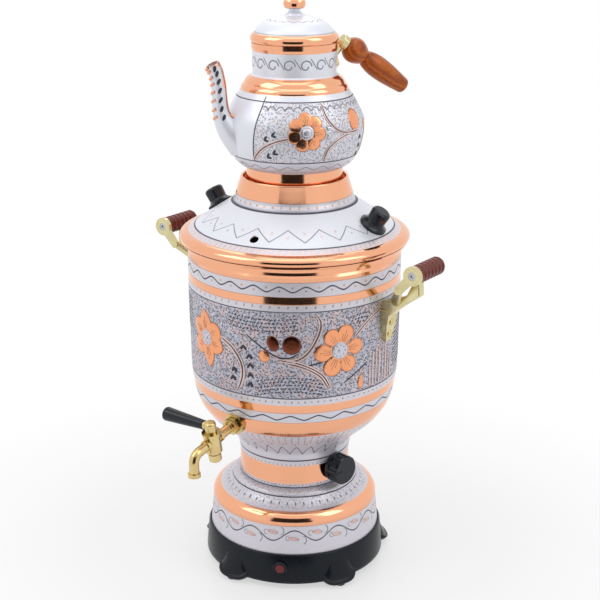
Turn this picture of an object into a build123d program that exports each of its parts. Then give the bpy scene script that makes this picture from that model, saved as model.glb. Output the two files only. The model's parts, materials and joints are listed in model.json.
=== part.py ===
from build123d import *
import os

# Electric copper samovar with its teapot.
# Millimetres, +Z up. The origin is on the vertical axis of the tank, in the flat underside of the
# base cover. The tap points along -Y and the two side handles lie along +X and -X.
# Angles round the axis are in degrees from -Y towards +X, so 0 is the tap and 90 the right handle.

# ---------------------------------------------------------------- fits
sheet = 1.0                    # thickness of the spun copper sheet
play = 0.05                    # radial play of a shaft, screw or rivet in its hole
rest_gap = 0.3                 # gap under a piece that lifts off

# ---------------------------------------------------------------- base
lamp_angle = 27.0
foot_angle = -6.5              # angle of the first foot
foot_count = 5
base_top_radius = 79.6
base_bottom_radius = 82.0
base_wall = 2.6
base_edge_height = 0.5         # the lower edge of the wall
deck_height = 26.5             # the top of the deck, where the pedestal stands
deck_thickness = 3.0
deck_hole_radius = 34.0
lip_height = 1.0               # the lip that centres the pedestal
lip_bevel = 0.8
foot_reach = 88.0
foot_inner_radius = 77.0
rim_inner_radius = 76.0        # inner edge of the underside of the wall
foot_width = 27.0
foot_top_width = 14.0
foot_top_drop = 2.0            # the feet end this far below the deck
foot_top_round = 2.0
foot_top_proud = 1.6           # and stand this far out of the wall there
foot_underside = -4.0          # underside of the moulded foot
foot_round = 5.0
pad_radius = 4.8
pad_thickness = 3.0
pad_underside = -5.0           # what the samovar stands on
cover_thickness = 2.5
cover_underside = 0.0
vent_count = 12
vent_radius = 2.2
vent_circle = 42.0
boss_circle = 62.0
boss_radius = 4.0
cover_screw_radius = 1.5
cover_screw_length = 12.0
cover_screw_head = 3.0
cross_length = 3.0             # the cross recess of the cover screws
cross_width = 0.8
cross_depth = 1.4
base_bolt_circle = 71.5
base_bolt_radius = 2.0

lamp_height = 15.5
lamp_radius = 4.4
lamp_wall = 0.6
lamp_flange = 6.6
lamp_flange_thickness = 1.7
lamp_boss_radius = 8.0
lamp_depth = 17.0
lamp_lens_depth = 4.0
lamp_tag_length = 5.0
lamp_tag_spread = 2.0
lamp_tag_radius = 0.7
gland_angle = foot_angle + 2.5 * 360 / foot_count   # at the back, midway between two feet
gland_height = 14.0
gland_bore = 4.0
gland_radius = 5.8
gland_flange = 8.2
gland_flange_thickness = 2.0
gland_nut_thickness = 3.5
wall_boss_depth = 8.0          # flat bosses through the curved wall, for lamp and gland

block_length = 34.0
block_width = 17.0
block_height = 12.0
block_distance = 45.0          # from the axis to the middle of the terminal block
block_screw_radius = 2.0
block_screw_pitch = 10.625     # along the block
block_hole_depth = 6.0
block_screw_sunk = 1.5
block_slot_width = 0.7
block_slot_depth = 0.6

# ---------------------------------------------------------------- pedestal and neck
pedestal_bottom_radius = 77.5
pedestal_waist_radius = 75.0
pedestal_waist_height = 54.0
pedestal_top_radius = 57.3
pedestal_top_height = 72.7
bulge_reach = 9.5              # the top of the bulge, outside the top of the pedestal
bulge_drop = 7.7               # and below it
flange_inner_radius = 36.0
neck_radius = 49.7
neck_foot_height = 77.5
neck_flare_height = 101.4
neck_top_radius = 51.0
neck_top_height = 107.0
neck_bolt_circle = 41.5
neck_bolt_radius = 2.0
neck_bolt_count = 4
neck_bolt_turn = 35.0
bolt_head_radius = 3.5         # of the bolts of the base and the neck
bolt_head_height = 2.6
bolt_nut_radius = 3.8
bolt_nut_height = 3.0
bolt_spare = 1.5               # how far a bolt passes its nut

# ---------------------------------------------------------------- tank
tank_radius = 93.5
tank_lower_radius = tank_radius - 1.2
tank_lower_height = 183.0
tank_rim_height = 296.4        # underside of the turned-out rim
tank_rim_radius = tank_radius + 5.2
tank_straight_height = tank_rim_height - 39.4   # the wall is upright above this
tank_rim_turn = 4.5            # height of the curve that turns the rim out
floor_hole_radius = 21.0
# the curve of the bowl, as shares of the way from the neck to the foot of the wall
bowl_shares = ((0.01937, 0.06579), (0.14044, 0.15132), (0.34867, 0.25658), (0.56416, 0.36053),
               (0.71913, 0.46053), (0.82324, 0.54737), (0.89346, 0.64474), (0.93947, 0.75),
               (0.97579, 0.86842))

# ---------------------------------------------------------------- heating element
element_flange_radius = 32.0
element_flange_thickness = 3.0
gasket_thickness = 2.0
element_bolt_circle = 27.0
element_bolt_radius = 2.5
element_bolt_count = 4
element_bolt_turn = 45.0
element_bolt_reach = 6.0       # below the top of the neck
element_bolt_head = 4.4
element_bolt_head_height = 3.2
element_nut_height = 4.0
element_tail = 6.0             # how far the tube ends pass the flange
element_tag_width = 5.0
element_tag_thickness = 0.8
element_tag_length = 9.0
element_leg_bend = 8.0
element_side_bend = 12.0
element_tube_radius = 4.0
element_leg_spacing = 16.0
element_leg_offset = 12.0
element_level = 138.0
element_half_width = 34.0
element_corner = 20.0
pocket_radius = 3.2
pocket_bore = 2.5
pocket_x = -15.0
pocket_y = 6.0
pocket_top = 148.0
pocket_end = 1.5               # thickness of its closed end
cutout_radius = 7.5
cutout_height = 7.0
cutout_y = 10.0

# ---------------------------------------------------------------- thermostat
thermostat_angle = 80.0
shaft_height = 94.5
shaft_radius = 3.0
bushing_radius = 5.0
knob_radius = 13.3
knob_inner = neck_radius + 2.8  # distance of the skirt of the knob from the axis
knob_depth = 13.5
knob_outer = knob_inner + knob_depth
knob_hollow_radius = 10.2      # room for the nut under the skirt
knob_hollow_depth = 3.6
knob_flute_radius = 3.0
knob_flute_cut = 1.1           # how deep a flute is cut
knob_flute_start = 3.0
knob_flutes = 10
body_front = neck_radius - 5.7
body_back = body_front - 24.0
body_width = 28.0
body_bottom = 80.0
body_top = 99.0
thermostat_nut_radius = 7.5
shaft_flat_depth = 1.0         # the flat that drives the knob
shaft_flat_length = 7.0
probe_bend = 6.0
capillary_radius = 0.6
lead_radius = 1.1
lamp_lead_radius = 0.9

# ---------------------------------------------------------------- tap
tap_height = 150.5
tap_droop = 10.7               # degrees that the shank points down
tap_plug_distance = 32.1       # along the shank, from the wall to the plug
tap_reach = 57.2               # along the shank, from the wall to the downturn
tap_drop = 18.5                # from the downturn to the mouth
shank_radius = 4.3
shank_bore = 2.6
tap_hex_radius = 7.5
tap_hex_start = 3.5
tap_hex_length = 5.5
escutcheon_radius = 9.5
escutcheon_height = 3.0
barrel_radius = 7.2
barrel_half = 9.5
plug_radius = 5.0
lever_height = 14.4            # above the shank, along the plug
lever_head_radius = 5.0
lever_head_half = 4.0
lever_start = 6.5
lever_length = 49.5
lever_thin = 4.1
lever_thick = 6.2
tap_seal_radius = 11.0
tap_seal_depth = 13.0
tap_tail_radius = 6.0
tap_tail_length = 6.0          # behind the seal, for the lock nut
tap_bend = 8.0
tap_collar_radius = 5.2
tap_collar_start = 7.5         # from the plug to the collars beside it
tap_collar_length = 2.5
barrel_rim = 0.9
barrel_rim_height = 2.2
mouth_ring_radius = 5.4
mouth_ring_height = 3.4
lock_nut_radius = 10.0
lock_nut_thickness = 4.0
plug_tail_radius = 3.0         # the thinner ends of the plug
plug_tail_length = 6.0
plug_end = 2.0                 # how far the thick part of the plug leaves the barrel below
plug_top = 0.8                 # and above
plug_nut_radius = 5.6
plug_nut_height = 7.3
lever_neck_radius = 3.6
lever_stud_radius = 1.6
lever_stud_length = 18.0

# ---------------------------------------------------------------- side handles
grip_distance = tank_radius + 40.1   # axis of the grip from the axis of the tank
grip_height = tank_rim_height - 6.4
grip_radius = 7.8
grip_half = 19.6               # half the length of the grip
grip_ridges = 7
grip_ridge_depth = 1.0
grip_end_round = 2.6
eye_thickness = 3.2
eye_radius = 8.3
eye_recess = 1.6               # depth of the recess for the head of the screw
elbow_distance = grip_distance - 13.3   # where the arm of the eye turns towards the leg
elbow_height = grip_height - 14.5
elbow_radius = 3.6
shoulder_distance = tank_radius + 12.5   # where that arm leaves the shoulder
shoulder_height = grip_height - 33.0
shoulder_radius = 5.0
heel_distance = grip_distance - 2.6   # lowest outer corner of the hook
heel_height = grip_height - 22.4
hook_thickness = 5.5
hook_middle = -1.0             # the hook lies a little towards the eye
hook_half_width = 4.0
leg_middle = 3.0
leg_width = 15.0
leg_tip_width = 7.0
leg_thickness = 3.2            # at the lower end
leg_root_thickness = 8.0       # at the shoulder
leg_top = grip_height - 43.0
leg_bottom = leg_top - 27.0
leg_taper = 16.0               # length of the pointed lower end
grip_screw_radius = 2.0
grip_screw_head = 3.5
grip_screw_length = 32.0
rivet_radius = 2.0
rivet_head = 3.0
rivet_heights = (leg_bottom + 7.0, leg_bottom + 17.5)
rivet_head_height = 1.6
rivet_set_height = 1.4         # the head that is set inside the tank
rivet_set_gap = 0.4

# ---------------------------------------------------------------- lid and collar
skirt_depth = 12.0
skirt_clearance = 1.2
lid_bead_radius = tank_rim_radius + 1.8
lid_bead_top = tank_rim_height + 10.0
lid_bead_inner_radius = tank_radius - 0.5
cone_bottom_radius = tank_radius - 6.5
cone_bottom_height = lid_bead_top + 3.6
cone_top_radius = 53.7
cone_top_height = cone_bottom_height + 21.8
lid_crown = 1.2                # the rise from the cone to the hole
lid_hole_radius = 44.0
collar_foot_height = cone_top_height + 6.4
collar_foot_radius = 50.9
collar_top_radius = 46.7
collar_top_height = collar_foot_height + 14.8
collar_lip = 1.2
collar_flange_radius = 45.0    # inner edge of the foot of the collar
collar_flange_thickness = 1.2
ledge_inner_radius = 33.0
ledge_height = collar_foot_height + 3.8
steam_hole_angle = 11.6
steam_hole_distance = 80.0
steam_hole_radius = 3.8
lid_turn = 6.0                 # the lid is put on turned by this much
lid_knob_distance = 76.0
lid_knob_flange = 12.0
lid_knob_radius = 8.0
lid_knob_height = 16.5
lid_knob_screw = 2.0
lid_knob_bore = 11.0           # depth of the hole for the screw
lid_screw_washer = 0.2
lid_screw_head = 4.0

# ---------------------------------------------------------------- teapot
pot_turn = -32.0               # angle of the spout
foot_ring_radius = 41.5
pot_bottom_height = ledge_height + 19.0
pot_bottom_radius = foot_ring_radius - 3.0
pot_belly_radius = 59.1
pot_belly_height = pot_bottom_height + 35.0
pot_shoulder_radius = 45.7
pot_shoulder_height = pot_bottom_height + 66.7
pot_ridge_radius = 42.9        # the line between the two ridges of the shoulder
pot_ridge_height = pot_shoulder_height + 4.9
pot_neck_radius = 35.5
pot_neck_bottom = pot_bottom_height + 79.5
pot_neck_top = pot_neck_bottom + 18.5
pot_rim_radius = pot_neck_radius + 0.9
pot_rim_height = pot_neck_top + 7.0
# the belly, as shares of the way from the bottom to the widest place and from there to the shoulder
pot_lower_shares = ((0.29126, 0.05143), (0.56796, 0.18286), (0.79126, 0.38286), (0.93204, 0.65714))
pot_upper_shares = ((0.08209, 0.28391), (0.33582, 0.53628), (0.65672, 0.77918))
strainer_hole_radius = 1.4
strainer_spacing = 4.4
strainer_pattern = ((0, 0), (-1, 0), (1, 0), (-0.5, 0.87), (0.5, 0.87), (-0.5, -0.87), (0.5, -0.87))
spout_root_height = pot_bottom_height + 27.0
# the spout: how far outside the widest place, how far above the bottom, and its radius
spout_course = ((-12.6, 23.5, 15.0), (-5.1, 30.8, 12.8), (2.2, 39.5, 9.6), (6.7, 50.0, 6.9),
                (7.8, 61.0, 6.3), (8.5, 73.0, 6.1), (10.7, 83.5, 6.1), (13.9, 89.6, 6.3))
pot_skirt_depth = 8.0
pot_skirt_clearance = 0.6
pot_lid_bead_radius = pot_rim_radius + 0.8
pot_lid_bead_height = 7.6
pot_lid_top_radius = 9.0
pot_lid_top_height = pot_rim_height + 22.0
pot_dome_radius = pot_neck_radius - 1.5   # where the dome of the lid starts
pot_dome_shares = ((0.12, 0.2837), (0.38, 0.6241), (0.72, 0.8652))
pot_knob_radius = 9.3
pot_knob_height = 20.0
pot_knob_foot_radius = 7.6
pot_knob_waist_radius = 4.6
pot_knob_stud_radius = 2.2
pot_knob_stud_length = 6.0

handle_slope = 35.0            # degrees that the wooden handle points down
ball_distance = pot_neck_radius + 19.5
ball_height = pot_neck_top - 3.0
ball_radius = 11.0
handle_length = 70.0
ferrule_radius = 6.5
ferrule_length = 6.0
handle_stud_radius = 2.0
handle_stud_end = 40.0
handle_groove = 11.6           # from the middle of the ball to the groove behind it
handle_groove_radius = 6.0
handle_groove_width = 3.2
handle_belly_radius = 9.6
handle_end_radius = 6.9
socket_arm_radius = 3.4
socket_arm_drop = 7.0          # below the top of the neck
saddle_half_width = 9.0
saddle_bottom = pot_neck_top - 15.5
saddle_thickness = 1.4
saddle_rivet_radius = 1.5
saddle_rivet_height = pot_neck_top - 11.6
saddle_rivet_head = 2.6
saddle_rivet_spread = 9.5      # degrees that the two rivets lie to the sides of the handle


# ================================================================ helpers
def facing(angle):
    """Turn a piece that was made pointing along +X so that it points at the angle."""
    return Rot(0, 0, angle - 90)


def edges_of(stretches):
    """Two points make a straight line, and more make a smooth curve."""
    return [Line(*points) if len(points) == 2 else Spline(*points) for points in stretches]


def turned(*stretches):
    """Solid of revolution about Z, from the stretches of its outline in (radius, height)."""
    edges = edges_of(stretches)
    first, last = stretches[0][0], stretches[-1][-1]
    if first != last:
        edges.append(Line(last, first))
    return revolve(Plane.XZ * make_face(edges), Axis.Z)


def inset(points, distance):
    """The points moved to the left of their direction of travel, mitred at the corners."""
    moved = []
    for index, (x, y) in enumerate(points):
        before = Vector(x, y) - Vector(*points[index - 1]) if index else None
        after = Vector(*points[index + 1]) - Vector(x, y) if index < len(points) - 1 else None
        before = (before or after).normalized()
        after = (after or before).normalized()
        middle = (before + after).normalized()
        reach = distance / middle.dot(after)
        moved.append((x - middle.Y * reach, y + middle.X * reach))
    return moved


def between(start, end, shares):
    """Points from start to end, those between them given as shares of the way in both directions."""
    middle = [(start[0] + (end[0] - start[0]) * across, start[1] + (end[1] - start[1]) * up)
              for across, up in shares]
    return [start, *middle, end]


def radius_at(edge, height):
    """Radius of a rising outline at a height, found by halving."""
    low, high = 0.0, 1.0
    for _ in range(40):
        middle = (low + high) / 2
        if (edge @ middle).Y < height:
            low = middle
        else:
            high = middle
    return (edge @ low).X


def inner_face(stretches):
    """The stretches of the inner face of a sheet, for those of its outer face."""
    flat = [stretches[0][0]]
    for points in stretches:
        flat += points[1:]
    inner = inset(flat, sheet)
    inner_stretches = []
    start = 0
    for points in stretches:
        end = start + len(points) - 1
        inner_stretches.append(inner[start:end + 1])
        start = end
    return inner_stretches


def spun(*stretches):
    """Sheet of revolution: the outline is the outer face and the sheet lies to its left."""
    inner = inner_face(stretches)
    edges = edges_of(stretches) + edges_of(inner)
    edges += [Line(stretches[0][0], inner[0][0]), Line(stretches[-1][-1], inner[-1][-1])]
    return revolve(Plane.XZ * make_face(edges), Axis.Z)


def rod(start, end, radius):
    """Cylinder from one point to another."""
    start, end = Vector(start), Vector(end)
    return extrude(Plane(origin=start, z_dir=end - start) * Circle(radius), (end - start).length)


def bolt(seat, radius, length, head_radius, head_height, sides=6):
    """Headed screw: the head lies on the plane's +Z side and the shank runs down from it."""
    head = RegularPolygon(head_radius, sides) if sides else Circle(head_radius)
    return extrude(seat * head, head_height) + extrude(seat * Circle(radius), -length)


def nut(seat, hole, radius, thickness, sides=6):
    """Nut that lies on the plane's -Z side."""
    return extrude(seat * (RegularPolygon(radius, sides) - Circle(hole)), -thickness)


def round_the_axis(piece, count, start=0.0):
    """Equal pieces round Z, as a list."""
    return [Rot(0, 0, start + index * 360 / count) * piece for index in range(count)]


def group(pieces):
    """Separate solids in one node."""
    return Compound(children=[solid for piece in pieces for solid in piece.solids()])


def lead(points, bend, radius=lead_radius):
    """Wire along straight runs joined by arcs."""
    path = FilletPolyline(*points, radius=bend)
    return sweep(Plane(origin=path @ 0, z_dir=path % 0) * Circle(radius), path)


def tapered_link(first, first_radius, second, second_radius, low, high):
    """Plate in the XZ plane round two circles, between two Y values."""
    circles = [CenterArc(first, first_radius, 0, 360), CenterArc(second, second_radius, 0, 360)]
    outline = Plane(origin=(0, low, 0), x_dir=(1, 0, 0), z_dir=(0, -1, 0)) * make_hull(circles)
    return extrude(outline, low - high)


nodes = {}

# ================================================================ base
deck_bottom = deck_height - deck_thickness
foot_turn = foot_angle - 90

base = turned(
    [(deck_hole_radius, deck_bottom), (deck_hole_radius, deck_height)],
    [(deck_hole_radius, deck_height), (pedestal_bottom_radius + rest_gap, deck_height)],
    [(pedestal_bottom_radius + rest_gap, deck_height),
     (pedestal_bottom_radius + rest_gap, deck_height + lip_height)],
    [(pedestal_bottom_radius + rest_gap, deck_height + lip_height),
     (base_top_radius - lip_bevel, deck_height + lip_height)],
    [(base_top_radius - lip_bevel, deck_height + lip_height), (base_top_radius, deck_height)],
    [(base_top_radius, deck_height), (base_bottom_radius, base_edge_height)],
    [(base_bottom_radius, base_edge_height), (rim_inner_radius, base_edge_height)],
    [(rim_inner_radius, base_edge_height), (rim_inner_radius, base_edge_height + deck_thickness)],
    [(rim_inner_radius, base_edge_height + deck_thickness),
     (base_bottom_radius - base_wall, base_edge_height + deck_thickness)],
    [(base_bottom_radius - base_wall, base_edge_height + deck_thickness),
     (base_top_radius - base_wall, deck_bottom)],
)
foot_middle = (foot_inner_radius + foot_reach) / 2
foot_top_reach = base_top_radius + foot_top_proud
foot_top_middle = (foot_inner_radius + foot_top_reach) / 2
foot_bottom_face = Pos(foot_middle, 0, foot_underside) * RectangleRounded(
    foot_reach - foot_inner_radius, foot_width, foot_round)
foot_top_face = Pos(foot_top_middle, 0, deck_height - foot_top_drop) * RectangleRounded(
    foot_top_reach - foot_inner_radius, foot_top_width, foot_top_round)
foot = loft([foot_bottom_face, foot_top_face])
pad_recess = Pos(foot_middle, 0, pad_underside) * Cylinder(
    pad_radius + play, pad_thickness, align=(Align.CENTER, Align.CENTER, Align.MIN))
cover_top = cover_underside + cover_thickness
cover_boss = rod((boss_circle, 0, cover_top), (boss_circle, 0, deck_bottom), boss_radius)
boss_hole = rod((boss_circle, 0, cover_underside),
                (boss_circle, 0, cover_underside + cover_screw_length + 1), cover_screw_radius + play)
base_bolt_hole = rod((base_bolt_circle, 0, deck_bottom), (base_bolt_circle, 0, deck_height),
                     base_bolt_radius + play)
boss_face = base_bottom_radius
bore_reach = 10.0                    # the bores run past both faces of the wall


def wall_boss(angle, height, radius):
    """Flat-faced round boss through the curved wall of the base."""
    return facing(angle) * rod((boss_face - wall_boss_depth, 0, height), (boss_face, 0, height), radius)


def wall_bore(angle, height, radius):
    """Bore through such a boss."""
    inner = boss_face - wall_boss_depth - bore_reach
    return facing(angle) * rod((inner, 0, height), (boss_face + bore_reach, 0, height), radius)


base += round_the_axis(foot, foot_count, foot_turn)
base += round_the_axis(cover_boss, foot_count, foot_turn)
base += wall_boss(lamp_angle, lamp_height, lamp_boss_radius)
base += wall_boss(gland_angle, gland_height, gland_flange)
lamp_tube_radius = lamp_radius + play + lamp_wall
base -= round_the_axis(pad_recess, foot_count, foot_turn)
base -= round_the_axis(boss_hole, foot_count, foot_turn)
base -= round_the_axis(base_bolt_hole, foot_count, foot_turn)
base -= wall_bore(lamp_angle, lamp_height, lamp_tube_radius + play)
base -= wall_bore(gland_angle, gland_height, gland_radius + play)
nodes["base_moulding"] = base

pad = Pos(foot_middle, 0, pad_underside) * Cylinder(
    pad_radius, pad_thickness, align=(Align.CENTER, Align.CENTER, Align.MIN))
pad = chamfer(pad.faces().sort_by(Axis.Z)[0].edges(), 0.6)
nodes["foot_pads"] = group(round_the_axis(pad, foot_count, foot_turn))

cover_radius = rim_inner_radius - rest_gap
cover = Pos(0, 0, cover_underside) * Cylinder(
    cover_radius, cover_thickness, align=(Align.CENTER, Align.CENTER, Align.MIN))
screw_cone_depth = cover_screw_head - cover_screw_radius
screw_cone = Pos(boss_circle, 0, cover_underside) * Cone(
    cover_screw_head + play, cover_screw_radius + play, screw_cone_depth,
    align=(Align.CENTER, Align.CENTER, Align.MIN))
vent = Pos(vent_circle, 0, cover_underside) * Cylinder(
    vent_radius, cover_thickness, align=(Align.CENTER, Align.CENTER, Align.MIN))
cover -= round_the_axis(screw_cone, foot_count, foot_turn)
cover -= round_the_axis(boss_hole, foot_count, foot_turn)
cover -= round_the_axis(vent, vent_count)
nodes["base_cover"] = cover

cover_screw = Pos(boss_circle, 0, cover_underside) * Cone(
    cover_screw_head, cover_screw_radius, screw_cone_depth,
    align=(Align.CENTER, Align.CENTER, Align.MIN))
cover_screw += rod((boss_circle, 0, cover_underside + screw_cone_depth),
                   (boss_circle, 0, cover_underside + cover_screw_length), cover_screw_radius)
cross_recess = Pos(boss_circle, 0, cover_underside) * (
    Box(cross_length, cross_width, cross_depth) + Box(cross_width, cross_length, cross_depth))
nodes["base_cover_screws"] = group(round_the_axis(cover_screw - cross_recess, foot_count, foot_turn))

# indicator lamp
lamp_back = boss_face - lamp_depth
bezel = rod((boss_face, 0, lamp_height), (boss_face + lamp_flange_thickness, 0, lamp_height), lamp_flange)
bezel = chamfer(bezel.faces().sort_by(Axis.X)[-1].edges(), 0.7)
bezel += rod((lamp_back, 0, lamp_height), (boss_face, 0, lamp_height), lamp_tube_radius)
bezel -= rod((lamp_back - 1, 0, lamp_height), (boss_face + bore_reach, 0, lamp_height), lamp_radius + play)
nodes["lamp_bezel"] = facing(lamp_angle) * bezel
lens_face = boss_face + lamp_flange_thickness
lens_back = boss_face - lamp_lens_depth
lens = rod((lens_back, 0, lamp_height), (lens_face, 0, lamp_height), lamp_radius)
lens = fillet(lens.faces().sort_by(Axis.X)[-1].edges(), 0.8)
nodes["lamp_lens"] = facing(lamp_angle) * lens
lamp_end = lamp_back - 2
tag_end = lamp_end - lamp_tag_length
lamp_body = rod((lamp_end, 0, lamp_height), (lens_back, 0, lamp_height), lamp_radius)
lamp_tags = [rod((tag_end, side, lamp_height), (lamp_end, side, lamp_height), lamp_tag_radius)
             for side in (-lamp_tag_spread, lamp_tag_spread)]
nodes["lamp_body"] = facing(lamp_angle) * (lamp_body + lamp_tags)

# cable gland
gland_inner_face = boss_face - wall_boss_depth
gland_face = boss_face + gland_flange_thickness
gland = rod((boss_face, 0, gland_height), (gland_face, 0, gland_height), gland_flange)
gland = chamfer(gland.faces().sort_by(Axis.X)[-1].edges(), 0.8)
gland_end = gland_inner_face - gland_nut_thickness - 2
gland += rod((gland_end, 0, gland_height), (boss_face, 0, gland_height), gland_radius)
gland -= rod((gland_end - 1, 0, gland_height), (gland_face + 1, 0, gland_height), gland_bore)
nodes["cable_gland"] = facing(gland_angle) * gland
gland_nut_seat = Plane(origin=(gland_inner_face, 0, gland_height), z_dir=(1, 0, 0))
nodes["gland_nut"] = facing(gland_angle) * nut(
    gland_nut_seat, gland_radius + play, gland_flange, gland_nut_thickness)

# terminal block under the deck
block_bottom = deck_bottom - block_height
block = Pos(block_distance, 0, block_bottom) * Box(
    block_width, block_length, block_height, align=(Align.CENTER, Align.CENTER, Align.MIN))
block_screws = []
for row in (-1, 1):
    for column in (-1, 0, 1):
        place = (block_distance + row * block_width / 4, column * block_screw_pitch)
        hole_top = block_bottom + block_hole_depth
        block -= rod((*place, block_bottom), (*place, hole_top), block_screw_radius + play)
        screw = rod((*place, block_bottom + block_screw_sunk), (*place, hole_top), block_screw_radius)
        slot = Pos(*place, block_bottom + block_screw_sunk) * Box(
            4 * block_screw_radius, block_slot_width, 2 * block_slot_depth)
        block_screws.append(facing(gland_angle) * (screw - slot))
nodes["terminal_block"] = facing(gland_angle) * block
nodes["terminal_screws"] = group(block_screws)

# ================================================================ pedestal and neck
bulge_top = (pedestal_top_radius + bulge_reach, pedestal_top_height - bulge_drop)
pedestal = spun(
    [(rim_inner_radius - 10, deck_height), (pedestal_bottom_radius, deck_height)],
    [(pedestal_bottom_radius, deck_height), (pedestal_waist_radius, pedestal_waist_height)],
    [(pedestal_waist_radius, pedestal_waist_height), (pedestal_waist_radius - 0.2, pedestal_waist_height + 4),
     (pedestal_waist_radius - 2.7, pedestal_waist_height + 8), bulge_top],
    [bulge_top, (pedestal_top_radius + 4.2, pedestal_top_height - 4.5),
     (pedestal_top_radius, pedestal_top_height)],
    [(pedestal_top_radius, pedestal_top_height), (flange_inner_radius, pedestal_top_height)],
)
neck_bolt_hole = rod((neck_bolt_circle, 0, pedestal_top_height - 2 * sheet),
                     (neck_bolt_circle, 0, pedestal_top_height + 2 * sheet), neck_bolt_radius + play)
pedestal -= round_the_axis(neck_bolt_hole, neck_bolt_count, neck_bolt_turn)
flange_bolt_hole = rod((base_bolt_circle, 0, deck_height), (base_bolt_circle, 0, deck_height + 3 * sheet),
                       base_bolt_radius + play)
pedestal -= round_the_axis(flange_bolt_hole, foot_count, foot_turn)
nodes["pedestal_shell"] = pedestal

base_bolt = bolt(Plane(origin=(base_bolt_circle, 0, deck_bottom), z_dir=(0, 0, -1)), base_bolt_radius,
                 deck_thickness + sheet + bolt_nut_height + bolt_spare, bolt_head_radius, bolt_head_height)
nodes["base_bolts"] = group(round_the_axis(base_bolt, foot_count, foot_turn))
base_nut = nut(Plane(origin=(base_bolt_circle, 0, deck_height + sheet), z_dir=(0, 0, -1)),
               base_bolt_radius + play, bolt_nut_radius, bolt_nut_height)
base_nuts = round_the_axis(base_nut, foot_count, foot_turn)

neck = spun(
    [(flange_inner_radius, pedestal_top_height), (pedestal_top_radius - 0.4, pedestal_top_height)],
    [(pedestal_top_radius - 0.4, pedestal_top_height), (pedestal_top_radius - 0.6, pedestal_top_height + 2.2),
     (pedestal_top_radius - 3.2, neck_foot_height - 0.4), (neck_radius, neck_foot_height)],
    [(neck_radius, neck_foot_height), (neck_radius, neck_flare_height)],
    [(neck_radius, neck_flare_height), (neck_top_radius, neck_top_height)],
    [(neck_top_radius, neck_top_height), (element_bolt_circle - 5, neck_top_height)],
)
neck -= round_the_axis(neck_bolt_hole, neck_bolt_count, neck_bolt_turn)
element_bolt_end = neck_top_height - element_bolt_reach
element_bolt_top = neck_top_height + sheet + gasket_thickness + element_flange_thickness
element_bolt_hole = rod((element_bolt_circle, 0, element_bolt_end),
                        (element_bolt_circle, 0, element_bolt_top), element_bolt_radius + play)
neck -= round_the_axis(element_bolt_hole, element_bolt_count, element_bolt_turn)
neck -= facing(thermostat_angle) * rod((body_front, 0, shaft_height), (knob_inner, 0, shaft_height),
                                       bushing_radius + play)
nodes["neck_shell"] = neck

neck_bolt = bolt(Plane(origin=(neck_bolt_circle, 0, pedestal_top_height - sheet), z_dir=(0, 0, -1)),
                 neck_bolt_radius, 2 * sheet + bolt_nut_height + bolt_spare, bolt_head_radius,
                 bolt_head_height)
nodes["neck_bolts"] = group(round_the_axis(neck_bolt, neck_bolt_count, neck_bolt_turn))
neck_nut = nut(Plane(origin=(neck_bolt_circle, 0, pedestal_top_height + sheet), z_dir=(0, 0, -1)),
               neck_bolt_radius + play, bolt_nut_radius, bolt_nut_height)
nodes["flange_nuts"] = group([*base_nuts, *round_the_axis(neck_nut, neck_bolt_count, neck_bolt_turn)])

# ================================================================ tank
bowl_bottom = neck_top_height
bowl_curve = between((neck_top_radius, bowl_bottom), (tank_lower_radius, tank_lower_height), bowl_shares)
rim_turn_height = tank_rim_height - tank_rim_turn
tank_stretches = [
    [(floor_hole_radius, bowl_bottom), (neck_top_radius, bowl_bottom)],
    bowl_curve,
    [(tank_lower_radius, tank_lower_height), (tank_radius, tank_straight_height)],
    [(tank_radius, tank_straight_height), (tank_radius, rim_turn_height)],
    [(tank_radius, rim_turn_height), (tank_radius + 1.2, tank_rim_height - 1.2),
     (tank_radius + 3.0, tank_rim_height)],
    [(tank_radius + 3.0, tank_rim_height), (tank_rim_radius, tank_rim_height)],
]
tank = spun(*tank_stretches)
tank_filled = turned([(0, bowl_bottom), (neck_top_radius, bowl_bottom)], *tank_stretches[1:4],
                     [(tank_radius, rim_turn_height), (0, rim_turn_height)])
bowl_inner_curve = inner_face(tank_stretches)[1]
bowl_inside = turned([(0, bowl_inner_curve[0][1]), bowl_inner_curve[0]], bowl_inner_curve,
                     [bowl_inner_curve[-1], (0, bowl_inner_curve[-1][1])])
tank -= round_the_axis(element_bolt_hole, element_bolt_count, element_bolt_turn)

# the shank of the tap leaves the bowl here, pointing at +X and down
tap_origin = Vector(radius_at(Spline(*bowl_curve), tap_height), 0, tap_height)
shank_plane = Plane(origin=tap_origin, x_dir=(0, 1, 0),
                    z_dir=Vector(1, 0, 0).rotate(Axis.Y, tap_droop))
along = shank_plane.z_dir
plug_axis = Vector(0, 0, 1).rotate(Axis.Y, tap_droop)


def on_shank(distance, raised=0.0, sideways=0.0):
    """Point at a distance along the shank, raised along the plug and moved sideways."""
    return tap_origin + along * distance + plug_axis * raised + Vector(0, sideways, 0)


def shank_rod(start, end, radius):
    """Cylinder about the axis of the shank."""
    return rod(on_shank(start), on_shank(end), radius)


tank -= facing(0) * shank_rod(-tap_seal_depth, 8, tap_tail_radius + play)


def wall_radius(height):
    """Outer radius of the wall of the tank at a height."""
    share = (height - tank_lower_height) / (tank_straight_height - tank_lower_height)
    return tank_lower_radius + (tank_radius - tank_lower_radius) * min(1.0, share)


def rivet_seat(height):
    """Distance from the axis of the flat seat of a rivet head on the leg."""
    slope = (leg_root_thickness - leg_thickness) / (leg_top - leg_bottom)
    return tank_radius + leg_thickness + (height - rivet_head - leg_bottom) * slope


def rivet_holes(height, radius):
    """Hole for one bracket rivet through the wall at +X."""
    inside = wall_radius(height) - 5
    return rod((inside, leg_middle, height), (rivet_seat(height) + 1, leg_middle, height), radius)


for height in rivet_heights:
    rivet_hole = rivet_holes(height, rivet_radius + play)
    tank -= [rivet_hole, mirror(rivet_hole, Plane.YZ)]
nodes["tank_shell"] = tank

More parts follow.
